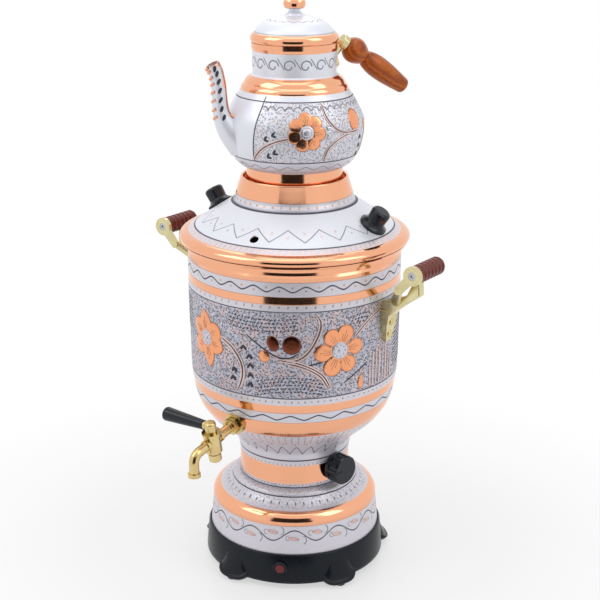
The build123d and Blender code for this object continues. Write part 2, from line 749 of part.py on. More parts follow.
# ================================================================ heating element
floor_top = neck_top_height + sheet
flange_bottom = floor_top + gasket_thickness
flange_top = flange_bottom + element_flange_thickness
gasket = Pos(0, 0, floor_top) * Cylinder(
    element_flange_radius, gasket_thickness, align=(Align.CENTER, Align.CENTER, Align.MIN))
gasket -= Pos(0, 0, floor_top) * Cylinder(
    floor_hole_radius, gasket_thickness, align=(Align.CENTER, Align.CENTER, Align.MIN))
gasket -= round_the_axis(element_bolt_hole, element_bolt_count, element_bolt_turn)
nodes["element_gasket"] = gasket

leg_x = element_leg_spacing / 2
leg_y = -element_leg_offset
tube_end = flange_bottom - element_tail
back_y = 2 * element_half_width + leg_y
half = element_half_width
element_path = FilletPolyline(
    (-leg_x, leg_y, tube_end), (-leg_x, leg_y, element_level), (-half, leg_y, element_level),
    (-half, back_y - half, element_level), (half, back_y - half, element_level),
    (half, leg_y, element_level), (leg_x, leg_y, element_level), (leg_x, leg_y, tube_end),
    radius=[element_leg_bend, element_side_bend, element_corner, element_corner, element_side_bend,
            element_leg_bend])
element = sweep(Plane(origin=element_path @ 0, z_dir=element_path % 0) * Circle(element_tube_radius),
                element_path)
for x in (-leg_x, leg_x):
    element += Pos(x, leg_y, tube_end - 4) * Box(
        element_tag_thickness, element_tag_width, element_tag_length)
nodes["heating_element"] = element

flange = Pos(0, 0, flange_bottom) * Cylinder(
    element_flange_radius, element_flange_thickness, align=(Align.CENTER, Align.CENTER, Align.MIN))
for x in (-leg_x, leg_x):
    flange -= rod((x, leg_y, flange_bottom), (x, leg_y, flange_top), element_tube_radius)
flange += rod((pocket_x, pocket_y, flange_bottom), (pocket_x, pocket_y, pocket_top), pocket_radius)
pocket_roof = pocket_top - pocket_end
flange -= rod((pocket_x, pocket_y, flange_bottom - 1), (pocket_x, pocket_y, pocket_roof), pocket_bore)
flange -= round_the_axis(element_bolt_hole, element_bolt_count, element_bolt_turn)
nodes["element_flange"] = flange

element_bolt = bolt(Plane(origin=(element_bolt_circle, 0, flange_top), z_dir=(0, 0, 1)),
                    element_bolt_radius, flange_top - element_bolt_end, element_bolt_head,
                    element_bolt_head_height)
nodes["element_bolts"] = group(round_the_axis(element_bolt, element_bolt_count, element_bolt_turn))
element_nut = nut(Plane(origin=(element_bolt_circle, 0, neck_top_height - sheet)),
                  element_bolt_radius + play, element_bolt_head, element_nut_height)
nodes["element_nuts"] = group(round_the_axis(element_nut, element_bolt_count, element_bolt_turn))
nodes["thermal_cutout"] = rod((0, cutout_y, flange_bottom - cutout_height), (0, cutout_y, flange_bottom),
                              cutout_radius)

# ================================================================ thermostat
bushing_face = neck_radius - sheet - 0.7
body = Pos((body_back + body_front) / 2, 0, (body_bottom + body_top) / 2) * Box(
    body_front - body_back, body_width, body_top - body_bottom)
below_flare = Box(2 * knob_outer, 2 * knob_outer, 2 * (neck_flare_height - 0.2))
body += rod((body_front, 0, shaft_height), (bushing_face, 0, shaft_height), bushing_radius + 3) & below_flare
body += rod((body_front, 0, shaft_height), (neck_radius + 3.2, 0, shaft_height), bushing_radius)
shaft_back = body_back + 8
body -= rod((shaft_back, 0, shaft_height), (knob_outer, 0, shaft_height), shaft_radius + play)
nodes["thermostat_body"] = facing(thermostat_angle) * body
nodes["thermostat_nut"] = facing(thermostat_angle) * nut(
    Plane(origin=(neck_radius + 2.5, 0, shaft_height), z_dir=(1, 0, 0)), bushing_radius + play,
    thermostat_nut_radius, 2.45)

shaft_end = knob_outer - 4.0
flat = Pos(shaft_end, 0, shaft_height + shaft_radius - shaft_flat_depth) * Box(
    2 * shaft_flat_length, 3 * shaft_radius, shaft_radius, align=(Align.CENTER, Align.CENTER, Align.MIN))
shaft = rod((shaft_back + 0.5, 0, shaft_height), (shaft_end, 0, shaft_height), shaft_radius) - flat
nodes["thermostat_shaft"] = facing(thermostat_angle) * shaft

knob_plane = Plane(origin=(knob_inner, 0, shaft_height), z_dir=(1, 0, 0))
knob = extrude(Circle(knob_radius), knob_depth)
knob = chamfer(knob.faces().sort_by(Axis.Z)[-1].edges(), 1.2)
flute = Pos(knob_radius + knob_flute_radius - knob_flute_cut, 0, knob_flute_start) * Cylinder(
    knob_flute_radius, knob_depth, align=(Align.CENTER, Align.CENTER, Align.MIN))
knob -= round_the_axis(flute, knob_flutes)
knob -= Cylinder(knob_hollow_radius, knob_hollow_depth, align=(Align.CENTER, Align.CENTER, Align.MIN))
knob -= Cylinder(shaft_radius, shaft_end - knob_inner, align=(Align.CENTER, Align.CENTER, Align.MIN))
knob += Pos(0, 7.4, knob_depth) * Box(1.4, 6.5, 0.8)
key = flat & rod((knob_inner + knob_hollow_depth, 0, shaft_height), (shaft_end, 0, shaft_height),
                 shaft_radius)
nodes["thermostat_knob"] = facing(thermostat_angle) * (knob_plane * knob + key)

probe_entry = (facing(thermostat_angle) * Pos(body_back, -4, body_bottom + 6)).position
probe = rod((pocket_x, pocket_y, flange_bottom + 2), (pocket_x, pocket_y, pocket_top - 3), pocket_bore - play)
capillary = lead([(pocket_x, pocket_y, flange_bottom + 2.5), (pocket_x, pocket_y, body_bottom + 6),
                  probe_entry], probe_bend, capillary_radius)
nodes["thermostat_probe"] = (probe + capillary) - nodes["thermostat_body"]

# ================================================================ wiring
def block_terminal(column, raised):
    """Point on the inward side of the terminal block, in line with one screw."""
    place = facing(gland_angle) * Pos(
        block_distance - block_width / 2 + 0.1, column * block_screw_pitch, block_bottom + raised)
    return place.position


thermostat_pass = (facing(thermostat_angle) * Pos(flange_inner_radius - 10, 8, 0)).position
thermostat_in = (facing(thermostat_angle) * Pos(body_back + 6, 8, body_bottom)).position
thermostat_out = (facing(thermostat_angle) * Pos(body_back, 6, body_bottom + 12)).position
terminal_z = tube_end - 8.5
feed_leads = []
for column, passing, target in ((-1, thermostat_pass, thermostat_in),
                                (0, Vector(-leg_x, leg_y, 0), Vector(-leg_x, leg_y, terminal_z))):
    start = block_terminal(column, block_height - 4)
    inward = Vector(start.X * 0.62, start.Y * 0.62, start.Z)
    waist = Vector(inward.X * 0.9, inward.Y * 0.9, pedestal_top_height - 12)
    under = Vector(passing.X, passing.Y, pedestal_top_height + 1)
    feed_leads.append(lead([start, inward, waist, under, target], 3.5))
element_lead = lead([thermostat_out, (leg_x, leg_y + 3, thermostat_out.Z - 4),
                     (leg_x, leg_y, terminal_z)], 3.0)
lamp_leads = []
for side in (-1, 1):
    tag = (facing(lamp_angle) * Pos(tag_end, lamp_tag_spread * side, lamp_height)).position
    behind = (facing(lamp_angle) * Pos(tag_end - 17, 5 * side, lamp_height - 1)).position
    across = (facing((lamp_angle + gland_angle) / 2) * Pos(26, 0, lamp_height - 1.5 + side)).position
    end = block_terminal(side, 3)
    lamp_leads.append(lead([tag, behind, across, end], 4.0, lamp_lead_radius))
connected = [nodes[name] for name in ("terminal_block", "thermostat_body", "heating_element", "lamp_body")]
nodes["internal_leads"] = group([wire - connected for wire in (*feed_leads, element_lead, *lamp_leads)])

# ================================================================ tap
outlet_bend = on_shank(tap_reach)
mouth = outlet_bend - Vector(0, 0, tap_drop)
tap_tail = -tap_seal_depth - tap_tail_length
tap_path = FilletPolyline(on_shank(tap_tail), outlet_bend, mouth, radius=tap_bend)
tap_start = Plane(origin=tap_path @ 0, z_dir=tap_path % 0)
tap = sweep(tap_start * Circle(shank_radius), tap_path)
tap += shank_rod(tap_tail, 2.0, tap_tail_radius)
hex_plane = Plane(origin=on_shank(tap_hex_start), x_dir=(0, 1, 0), z_dir=along)
tap += extrude(hex_plane * RegularPolygon(tap_hex_radius, 6), tap_hex_length)
tap_hex_end = tap_hex_start + tap_hex_length
tap += shank_rod(2.0, tap_hex_start, tap_collar_radius)
tap += shank_rod(tap_hex_end, tap_hex_end + 2.0, tap_collar_radius)
barrel_bottom = on_shank(tap_plug_distance, -barrel_half)
barrel_top = on_shank(tap_plug_distance, barrel_half)
tap += rod(barrel_bottom, barrel_top, barrel_radius)
tap += rod(on_shank(tap_plug_distance, barrel_half - barrel_rim_height), barrel_top,
           barrel_radius + barrel_rim)
tap_collar_end = tap_collar_start + tap_collar_length
for low, high in ((-tap_collar_end, -tap_collar_start), (tap_collar_start, tap_collar_end)):
    tap += shank_rod(tap_plug_distance + low, tap_plug_distance + high, tap_collar_radius)
tap += rod(mouth, mouth + Vector(0, 0, mouth_ring_height), mouth_ring_radius)
tap -= sweep(tap_start * Circle(shank_bore), tap_path)
tap -= rod(on_shank(tap_plug_distance, -barrel_half - 1),
           on_shank(tap_plug_distance, barrel_half + 1), plug_radius + play)
nodes["tap_body"] = facing(0) * tap

escutcheon = shank_rod(-9, escutcheon_height, escutcheon_radius) - tank_filled
escutcheon = escutcheon - shank_rod(-12, 6, tap_tail_radius + play)
nodes["tap_escutcheon"] = facing(0) * escutcheon
seal = (shank_rod(-tap_seal_depth, 3, tap_seal_radius) & bowl_inside)
seal -= shank_rod(-tap_seal_depth - 1, 6, tap_tail_radius + play)
nodes["tap_seal"] = facing(0) * seal
lock_plane = Plane(origin=on_shank(-tap_seal_depth), x_dir=(0, 1, 0), z_dir=along)
nodes["tap_lock_nut"] = facing(0) * nut(lock_plane, tap_tail_radius + play, lock_nut_radius,
                                       lock_nut_thickness)

# the plug turns in the barrel: its cross bore meets the passage when the lever points outwards
def on_plug(raised, sideways=0.0):
    """Point at a height on the axis of the plug, measured from the axis of the shank."""
    return on_shank(tap_plug_distance, raised, sideways)


plug_low = -barrel_half - plug_end
plug_high = barrel_half + plug_top
plug_upper_end = lever_height + 2.0
plug = rod(on_plug(plug_low), on_plug(plug_high), plug_radius)
plug += rod(on_plug(plug_low - plug_tail_length), on_plug(plug_low), plug_tail_radius)
plug += rod(on_plug(plug_high), on_plug(plug_upper_end), plug_tail_radius)
plug -= rod(on_plug(0, -barrel_radius - 1), on_plug(0, barrel_radius + 1), shank_bore)
nodes["tap_plug"] = facing(0) * plug
plug_nut_top = on_plug(plug_low - 0.2)
plug_nut_plane = Plane(origin=plug_nut_top, x_dir=(0, 1, 0), z_dir=plug_axis)
plug_nut = extrude(plug_nut_plane * Circle(plug_nut_radius), -plug_nut_height)
plug_nut = fillet(plug_nut.faces().sort_by(Axis.Z)[0].edges(), 1.6)
plug_nut -= rod(plug_nut_top, on_plug(plug_low - plug_tail_length - 0.2), plug_tail_radius + play)
nodes["tap_plug_nut"] = facing(0) * plug_nut

head_bottom = on_plug(plug_high + 0.2)
head_top = on_plug(lever_height + lever_head_half + 0.6)
lever_head = rod(head_bottom, head_top, lever_head_radius)
lever_head = fillet(lever_head.faces().sort_by(Axis.Z)[-1].edges(), 1.6)
lever = lever_head + rod(on_plug(lever_height), on_plug(lever_height, -lever_start), lever_neck_radius)
lever += rod(on_plug(lever_height), on_plug(lever_height, -lever_start - lever_stud_length),
             lever_stud_radius)
lever -= rod(head_bottom, on_plug(plug_upper_end), plug_tail_radius)
nodes["tap_lever"] = facing(0) * lever
lever_plane = Plane(origin=on_plug(lever_height, -lever_start), z_dir=(0, -1, 0))
lever_grip_length = lever_length - lever_start
lever_grip = turned(
    [(0, 0), (lever_thin, 0)], [(lever_thin, 0), (lever_thick, lever_grip_length - 2.5)],
    [(lever_thick, lever_grip_length - 2.5), (lever_thick - 0.8, lever_grip_length - 0.6),
     (lever_thick - 2.6, lever_grip_length)],
    [(lever_thick - 2.6, lever_grip_length), (0, lever_grip_length)])
lever_grip -= Cylinder(lever_stud_radius + play, lever_stud_length + 0.5,
                       align=(Align.CENTER, Align.CENTER, Align.MIN))
nodes["tap_lever_grip"] = facing(0) * (lever_plane * lever_grip)

# ================================================================ side handles
eye_face = -grip_half - eye_thickness


def bracket():
    """Casting for the right side: a leg on the wall, an arm with an eye, and a hook under the grip."""
    left, right = leg_middle - leg_width / 2, leg_middle + leg_width / 2
    tip_left, tip_right = leg_middle - leg_tip_width / 2, leg_middle + leg_tip_width / 2
    taper_top = leg_bottom + leg_taper
    leg_front = Polyline((left, leg_top), (left, taper_top), (tip_left, leg_bottom),
                         (tip_right, leg_bottom), (right, taper_top), (right, leg_top), close=True)
    inside = tank_radius - 4
    leg_side = Polyline((inside, leg_bottom), (tank_radius + leg_thickness, leg_bottom),
                        (tank_radius + leg_root_thickness, leg_top), (inside, leg_top), close=True)
    leg = extrude(Plane.XZ * make_face(leg_side), leg_width, both=True)
    leg &= extrude(Plane.YZ * make_face(leg_front), grip_distance)
    hook_outer = heel_distance - 1.2
    hook_inner = hook_outer - hook_thickness
    shoulder_side = Polyline(
        (inside, leg_top - 6), (tank_radius + 4, leg_top - 4), (shoulder_distance - 1, leg_top),
        (shoulder_distance + 8.5, leg_top + 8.5), (heel_distance, heel_height),
        (hook_outer, grip_height - 5), (hook_inner, grip_height - 5), (hook_inner - 0.8, heel_height + 9.5),
        (hook_inner - 6, heel_height - 1), (shoulder_distance + 6, shoulder_height + 6),
        (shoulder_distance - 3, shoulder_height + 3.5), (inside, leg_top + 8), close=True)
    shoulder_plane = Plane(origin=(0, hook_middle, 0), x_dir=(1, 0, 0), z_dir=(0, -1, 0))
    shoulder = extrude(shoulder_plane * make_face(shoulder_side), hook_half_width, both=True)
    shoulder = fillet(shoulder.edges().filter_by(lambda edge: edge.center().Z > leg_top + 10), 1.2)
    eye = rod((grip_distance, eye_face, grip_height), (grip_distance, -grip_half, grip_height), eye_radius)
    eye += tapered_link((grip_distance, grip_height), elbow_radius + 0.6, (elbow_distance, elbow_height),
                        elbow_radius, eye_face, -grip_half)
    upper_end = Plane(origin=(elbow_distance, (eye_face - grip_half) / 2, elbow_height), z_dir=(0, 1, 0))
    lower_end = Plane(origin=(shoulder_distance, hook_middle - hook_half_width + 3, shoulder_height),
                      z_dir=(0, 1, 0))
    arm = loft([upper_end * Circle(elbow_radius), lower_end * Circle(shoulder_radius)])
    casting = leg + shoulder + eye + arm - tank_filled
    casting -= rod((grip_distance, -grip_half, grip_height), (grip_distance, grip_half, grip_height),
                   grip_radius + play)
    casting -= rod((grip_distance, eye_face, grip_height), (grip_distance, -grip_half, grip_height),
                   grip_screw_radius + play)
    casting -= rod((grip_distance, eye_face, grip_height),
                   (grip_distance, eye_face + eye_recess, grip_height), grip_screw_head + play)
    for height in rivet_heights:
        casting -= rivet_holes(height, rivet_radius + play)
        seat = rivet_seat(height)
        casting -= rod((seat, leg_middle, height), (seat + leg_root_thickness, leg_middle, height),
                       rivet_head + play)
    return casting


def side_grip():
    """Turned wooden grip with ridges and a round far end, bored for its screw."""
    length = 2 * grip_half - play
    ridge = length / grip_ridges
    low_radius = grip_radius - grip_ridge_depth
    outline = [(0, 0), (low_radius, 0)]
    for index in range(grip_ridges - 1):
        low = index * ridge
        outline += [(grip_radius, low + ridge * 0.3), (grip_radius, low + ridge * 0.7),
                    (low_radius, low + ridge)]
    last = length - ridge
    outline += [(grip_radius, last + ridge * 0.3), (grip_radius, last + ridge * 0.5),
                (grip_radius - 0.9, last + ridge * 0.82), (grip_radius - grip_end_round, length),
                (0, length)]
    wood = turned(*[[a, b] for a, b in zip(outline, outline[1:])])
    wood -= Cylinder(grip_screw_radius + play, grip_screw_length,
                     align=(Align.CENTER, Align.CENTER, Align.MIN))
    return Plane(origin=(grip_distance, -grip_half + play, grip_height), z_dir=(0, 1, 0)) * wood


def grip_screw():
    """Recessed screw through the eye into the grip."""
    head_end = eye_face + eye_recess
    screw = rod((grip_distance, eye_face + 0.2, grip_height), (grip_distance, head_end, grip_height),
                grip_screw_head)
    screw += rod((grip_distance, head_end, grip_height),
                 (grip_distance, -grip_half + grip_screw_length - 1, grip_height), grip_screw_radius)
    socket = rod((grip_distance, eye_face, grip_height), (grip_distance, head_end - 0.4, grip_height), 1.5)
    return screw - socket


def wall_rivets():
    """The rivets of one bracket, with a head on the casting and one inside the tank."""
    rivets = []
    for height in rivet_heights:
        inside = wall_radius(height) - sheet - rivet_set_gap
        outside = rivet_seat(height)
        place = (leg_middle, height)
        shank = rod((inside, *place), (outside, *place), rivet_radius)
        head = rod((outside, *place), (outside + rivet_head_height, *place), rivet_head)
        head = fillet(head.faces().sort_by(Axis.X)[-1].edges(), 1.0)
        inner = rod((inside - rivet_set_height, *place), (inside, *place), rivet_head)
        rivets.append(shank + head + inner)
    return rivets


right_bracket, right_grip, right_screw = bracket(), side_grip(), grip_screw()
nodes["handle_bracket_right"] = right_bracket
nodes["handle_bracket_left"] = mirror(right_bracket, Plane.YZ)
nodes["handle_grip_right"] = right_grip
nodes["handle_grip_left"] = mirror(right_grip, Plane.YZ)
nodes["handle_screw_right"] = right_screw
nodes["handle_screw_left"] = mirror(right_screw, Plane.YZ)
rivets = wall_rivets()
nodes["bracket_rivets"] = group([*rivets, *[mirror(rivet, Plane.YZ) for rivet in rivets]])

# ================================================================ lid, collar and lid knobs
tank_rim_top = tank_rim_height + sheet
lid_seat = tank_rim_top + rest_gap
skirt_radius = tank_radius - sheet - skirt_clearance
cone_slope = (cone_top_height - cone_bottom_height) / (cone_bottom_radius - cone_top_radius)
lid_crown_height = cone_top_height + lid_crown
lid = spun(
    [(skirt_radius, lid_seat - skirt_depth), (skirt_radius, lid_seat)],
    [(skirt_radius, lid_seat), (tank_rim_radius - 0.5, lid_seat)],
    [(tank_rim_radius - 0.5, lid_seat), (lid_bead_radius - 0.3, lid_seat + 1.7),
     (lid_bead_radius, lid_seat + 4.1), (lid_bead_radius - 2.6, lid_seat + 7.2),
     (lid_bead_inner_radius, lid_bead_top)],
    [(lid_bead_inner_radius, lid_bead_top), (cone_bottom_radius, cone_bottom_height)],
    [(cone_bottom_radius, cone_bottom_height), (cone_top_radius, cone_top_height)],
    [(cone_top_radius, cone_top_height), (lid_hole_radius, lid_crown_height)],
)


def on_cone(distance, raised=0.0):
    """Plane on the cone of the lid, facing out of it, over +X."""
    height = cone_bottom_height + (cone_bottom_radius - distance) * cone_slope
    normal = Vector(cone_slope, 0, 1).normalized()
    return Plane(origin=Vector(distance, 0, height) + normal * raised, x_dir=(0, 1, 0), z_dir=normal)


steam_plane = on_cone(steam_hole_distance, 3)
lid -= facing(steam_hole_angle) * extrude(steam_plane * Circle(steam_hole_radius), -8)
knob_hole = extrude(on_cone(lid_knob_distance, 2) * Circle(lid_knob_screw + play), -6)
knob_angles = {"right": 90 + lid_turn, "left": -90 + lid_turn}
for angle in knob_angles.values():
    lid -= facing(angle) * knob_hole
nodes["lid_shell"] = lid

collar_bottom = lid_crown_height
flange_upper = collar_bottom + collar_flange_thickness
lip_middle = collar_top_height - collar_lip
collar = turned(
    [(collar_flange_radius, collar_bottom), (cone_top_radius - 1.2, cone_top_height + 0.2)],
    [(cone_top_radius - 1.2, cone_top_height + 0.2), (cone_top_radius - 1.4, cone_top_height + 1.6),
     (cone_top_radius - 2.6, cone_top_height + 4.2), (collar_foot_radius, collar_foot_height)],
    [(collar_foot_radius, collar_foot_height), (collar_top_radius, lip_middle)],
    [(collar_top_radius, lip_middle), (collar_top_radius - sheet, lip_middle)],
    [(collar_top_radius - sheet, lip_middle), (collar_foot_radius - sheet, collar_foot_height)],
    [(collar_foot_radius - sheet, collar_foot_height), (collar_foot_radius - sheet, flange_upper)],
    [(collar_foot_radius - sheet, flange_upper), (collar_flange_radius, flange_upper)],
)
collar += Pos(0, 0, lip_middle) * Torus(collar_top_radius - collar_lip, collar_lip)
ledge_outer = collar_foot_radius - sheet - (ledge_height - collar_foot_height) * (
    collar_foot_radius - collar_top_radius) / (lip_middle - collar_foot_height)
collar += turned(
    [(ledge_inner_radius, ledge_height - sheet), (ledge_outer + 0.3, ledge_height - sheet)],
    [(ledge_outer + 0.3, ledge_height - sheet), (ledge_outer + 0.3, ledge_height)],
    [(ledge_outer + 0.3, ledge_height), (ledge_inner_radius, ledge_height)])
collar -= lid
nodes["collar"] = collar


def lid_knob():
    """Top-hat knob on its own axis, hollow underneath and bored for its screw."""
    knob = turned(
        [(0, 0), (lid_knob_flange, 0)], [(lid_knob_flange, 0), (lid_knob_flange, 1.8)],
        [(lid_knob_flange, 1.8), (lid_knob_radius + 1.6, 3.4), (lid_knob_radius, 5.4)],
        [(lid_knob_radius, 5.4), (lid_knob_radius + 0.5, lid_knob_height - 3.0)],
        [(lid_knob_radius + 0.5, lid_knob_height - 3.0), (lid_knob_radius - 0.4, lid_knob_height - 0.8),
         (lid_knob_radius - 2.4, lid_knob_height)],
        [(lid_knob_radius - 2.4, lid_knob_height), (0, lid_knob_height)])
    return knob - Cylinder(lid_knob_screw + play, lid_knob_bore,
                           align=(Align.CENTER, Align.CENTER, Align.MIN))


def lid_knob_fastener():
    """Pan-head screw from inside the lid."""
    below = sheet + lid_screw_washer
    seat = Plane(origin=(0, 0, -below), z_dir=(0, 0, -1))
    return bolt(seat, lid_knob_screw, lid_knob_bore - 1 + below, lid_screw_head, lid_screw_head / 2, sides=0)


seat_on_lid = on_cone(lid_knob_distance)
for side, angle in knob_angles.items():
    nodes[f"lid_knob_{side}"] = facing(angle) * (seat_on_lid * lid_knob())
nodes["lid_knob_screws"] = group([facing(angle) * (seat_on_lid * lid_knob_fastener())
                                  for angle in knob_angles.values()])

# ================================================================ teapot
pot_widest = (pot_belly_radius, pot_belly_height)
pot_shoulder = (pot_shoulder_radius, pot_shoulder_height)
pot_ridge = (pot_ridge_radius, pot_ridge_height)
pot_ridge_top = (pot_neck_radius + 2.5, pot_neck_bottom - 1.9)
pot_curve = between((pot_bottom_radius, pot_bottom_height), pot_widest, pot_lower_shares)
pot_curve += between(pot_widest, pot_shoulder, pot_upper_shares)[1:]
pot_stretches = [
    [(0, pot_bottom_height), (pot_bottom_radius, pot_bottom_height)],
    pot_curve,
    [pot_shoulder, (pot_shoulder_radius - 0.7, pot_shoulder_height + 2.7), pot_ridge],
    [pot_ridge, (pot_ridge_radius - 1.4, pot_ridge_height + 3.0), pot_ridge_top],
    [pot_ridge_top, (pot_neck_radius, pot_neck_bottom)],
    [(pot_neck_radius, pot_neck_bottom), (pot_neck_radius, pot_neck_top)],
    [(pot_neck_radius, pot_neck_top), (pot_rim_radius, pot_neck_top + 3)],
    [(pot_rim_radius, pot_neck_top + 3), (pot_rim_radius, pot_rim_height)],
]
pot = spun(*pot_stretches)
pot_filled = turned(*pot_stretches, [(pot_rim_radius, pot_rim_height), (0, pot_rim_height)])
for column, row in strainer_pattern:
    y = column * strainer_spacing
    z = spout_root_height + row * strainer_spacing
    pot -= facing(pot_turn) * rod((pot_bottom_radius, y, z), (pot_belly_radius + 9, y, z),
                                  strainer_hole_radius)
saddle_angle = pot_turn + 180
saddle_rivet_hole = rod((pot_neck_radius - 5.5, 0, saddle_rivet_height),
                        (pot_neck_radius + 9.5, 0, saddle_rivet_height), saddle_rivet_radius + play)
saddle_rivet_angles = (saddle_angle - saddle_rivet_spread, saddle_angle + saddle_rivet_spread)
for angle in saddle_rivet_angles:
    pot -= facing(angle) * saddle_rivet_hole
nodes["teapot_body"] = pot

ring_bottom = ledge_height + rest_gap
nodes["teapot_foot_ring"] = turned(
    [(foot_ring_radius - sheet, ring_bottom), (foot_ring_radius + 0.8, ring_bottom)],
    [(foot_ring_radius + 0.8, ring_bottom), (foot_ring_radius, ring_bottom + 3)],
    [(foot_ring_radius, ring_bottom + 3), (foot_ring_radius, pot_bottom_height + 4)],
    [(foot_ring_radius, pot_bottom_height + 4), (foot_ring_radius - sheet, pot_bottom_height + 4)],
    [(foot_ring_radius - sheet, pot_bottom_height + 4), (foot_ring_radius - sheet, ring_bottom)],
) - pot_filled

spout_stations = [(pot_belly_radius + out, pot_bottom_height + up, radius)
                  for out, up, radius in spout_course]


def spout_form(shrink):
    """Smooth form through the stations of the spout, thinner by the given amount."""
    sections = []
    for index, (x, z, radius) in enumerate(spout_stations):
        before = spout_stations[max(index - 1, 0)]
        after = spout_stations[min(index + 1, len(spout_stations) - 1)]
        course = (after[0] - before[0], 0, after[1] - before[1])
        plane = Plane(origin=(x, 0, z), x_dir=(0, 1, 0), z_dir=course)
        sections.append(plane * Circle(radius - shrink))
    return loft(sections)


spout = spout_form(0) - spout_form(sheet) - pot_filled
nodes["teapot_spout"] = facing(pot_turn) * spout

# wooden handle and its brass socket, opposite the spout
handle_axis = Vector(1, 0, 0).rotate(Axis.Y, handle_slope)
ball_centre = Vector(ball_distance, 0, ball_height)


def on_handle(distance):
    """Point on the axis of the wooden handle, from the middle of its ball."""
    return ball_centre + handle_axis * distance


saddle = turned(
    [(pot_neck_radius, saddle_bottom), (pot_neck_radius + saddle_thickness, saddle_bottom)],
    [(pot_neck_radius + saddle_thickness, saddle_bottom), (pot_neck_radius + saddle_thickness, pot_neck_top)],
    [(pot_neck_radius + saddle_thickness, pot_neck_top), (pot_neck_radius, pot_neck_top)],
    [(pot_neck_radius, pot_neck_top), (pot_neck_radius, saddle_bottom)])
saddle &= Pos(pot_neck_radius, 0, saddle_rivet_height) * Box(40, 2 * saddle_half_width, 60)
ferrule_start = -ball_radius + 1.5 - ferrule_length
stud_start = ferrule_start + 2.0
socket = saddle + rod((pot_neck_radius - 1, 0, pot_neck_top - socket_arm_drop), on_handle(stud_start),
                      socket_arm_radius)
ferrule = rod(on_handle(ferrule_start), on_handle(ferrule_start + ferrule_length), ferrule_radius)
ferrule_plane = Plane(origin=on_handle(ferrule_start), z_dir=handle_axis)
socket += chamfer(ferrule.edges().filter_by(GeomType.CIRCLE), 0.6)
socket -= pot_filled
socket -= rod(on_handle(stud_start), on_handle(0), handle_stud_radius + play)
socket = facing(saddle_angle) * socket
for angle in saddle_rivet_angles:
    socket -= facing(angle) * saddle_rivet_hole
nodes["teapot_handle_socket"] = socket
nodes["teapot_handle_stud"] = facing(saddle_angle) * rod(on_handle(stud_start), on_handle(handle_stud_end),
                                                         handle_stud_radius)

handle_plane = Plane(origin=on_handle(0), z_dir=handle_axis)
ball_cut = ferrule_start + ferrule_length
ball_edge = (ball_radius ** 2 - ball_cut ** 2) ** 0.5
groove_start = handle_groove - handle_groove_width / 2
groove_end = handle_groove + handle_groove_width / 2
tip = handle_length - ball_radius
handle = turned(
    [(0, ball_cut), (ball_edge, ball_cut)],
    [(ball_edge, ball_cut), (ball_radius * 0.84, -ball_radius * 0.54), (ball_radius, 0),
     (ball_radius * 0.9, ball_radius * 0.45), (handle_groove_radius + 1.2, groove_start)],
    [(handle_groove_radius + 1.2, groove_start), (handle_groove_radius, handle_groove)],
    [(handle_groove_radius, handle_groove), (handle_groove_radius + 1.4, groove_end)],
    [(handle_groove_radius + 1.4, groove_end), (handle_belly_radius - 0.3, handle_groove + 10),
     (handle_belly_radius, handle_groove + 20), (handle_belly_radius - 1.3, handle_groove + 34),
     (handle_end_radius, tip - 2.4)],
    [(handle_end_radius, tip - 2.4), (handle_end_radius - 1.3, tip - 0.5), (handle_end_radius / 2, tip)],
    [(handle_end_radius / 2, tip), (0, tip)])
handle -= Pos(0, 0, ball_cut) * Cylinder(handle_stud_radius + play, handle_stud_end - ball_cut + 0.5,
                                         align=(Align.CENTER, Align.CENTER, Align.MIN))
nodes["teapot_handle"] = facing(saddle_angle) * (handle_plane * handle)

saddle_face = pot_neck_radius + saddle_thickness
rivet_place = (0, saddle_rivet_height)
saddle_rivet = rod((pot_neck_radius - sheet - 1.0, *rivet_place), (saddle_face + 0.1, *rivet_place),
                   saddle_rivet_radius)
saddle_rivet += rod((saddle_face, *rivet_place), (saddle_face + 1.2, *rivet_place), saddle_rivet_head)
saddle_rivet += rod((pot_neck_radius - sheet - 1.3, *rivet_place),
                    (pot_neck_radius - sheet - 0.3, *rivet_place), saddle_rivet_head)
saddle_rivets = [facing(angle) * saddle_rivet for angle in saddle_rivet_angles]
nodes["socket_rivets"] = group(saddle_rivets)

# teapot lid
pot_lid_seat = pot_rim_height + rest_gap
pot_skirt_radius = pot_neck_radius - sheet - pot_skirt_clearance
bead_top = pot_lid_seat + pot_lid_bead_height
dome_foot = (pot_dome_radius, bead_top)
dome_top = (pot_lid_top_radius, pot_lid_top_height)
pot_lid = spun(
    [(pot_skirt_radius, pot_lid_seat - pot_skirt_depth), (pot_skirt_radius, pot_lid_seat)],
    [(pot_skirt_radius, pot_lid_seat), (pot_rim_radius - 0.2, pot_lid_seat)],
    [(pot_rim_radius - 0.2, pot_lid_seat), (pot_lid_bead_radius, pot_lid_seat + 2.6),
     (pot_lid_bead_radius - 0.6, bead_top - 2.2), dome_foot],
    between(dome_foot, dome_top, pot_dome_shares),
    [dome_top, (pot_knob_stud_radius + play, pot_lid_top_height)],
)
nodes["teapot_lid"] = pot_lid

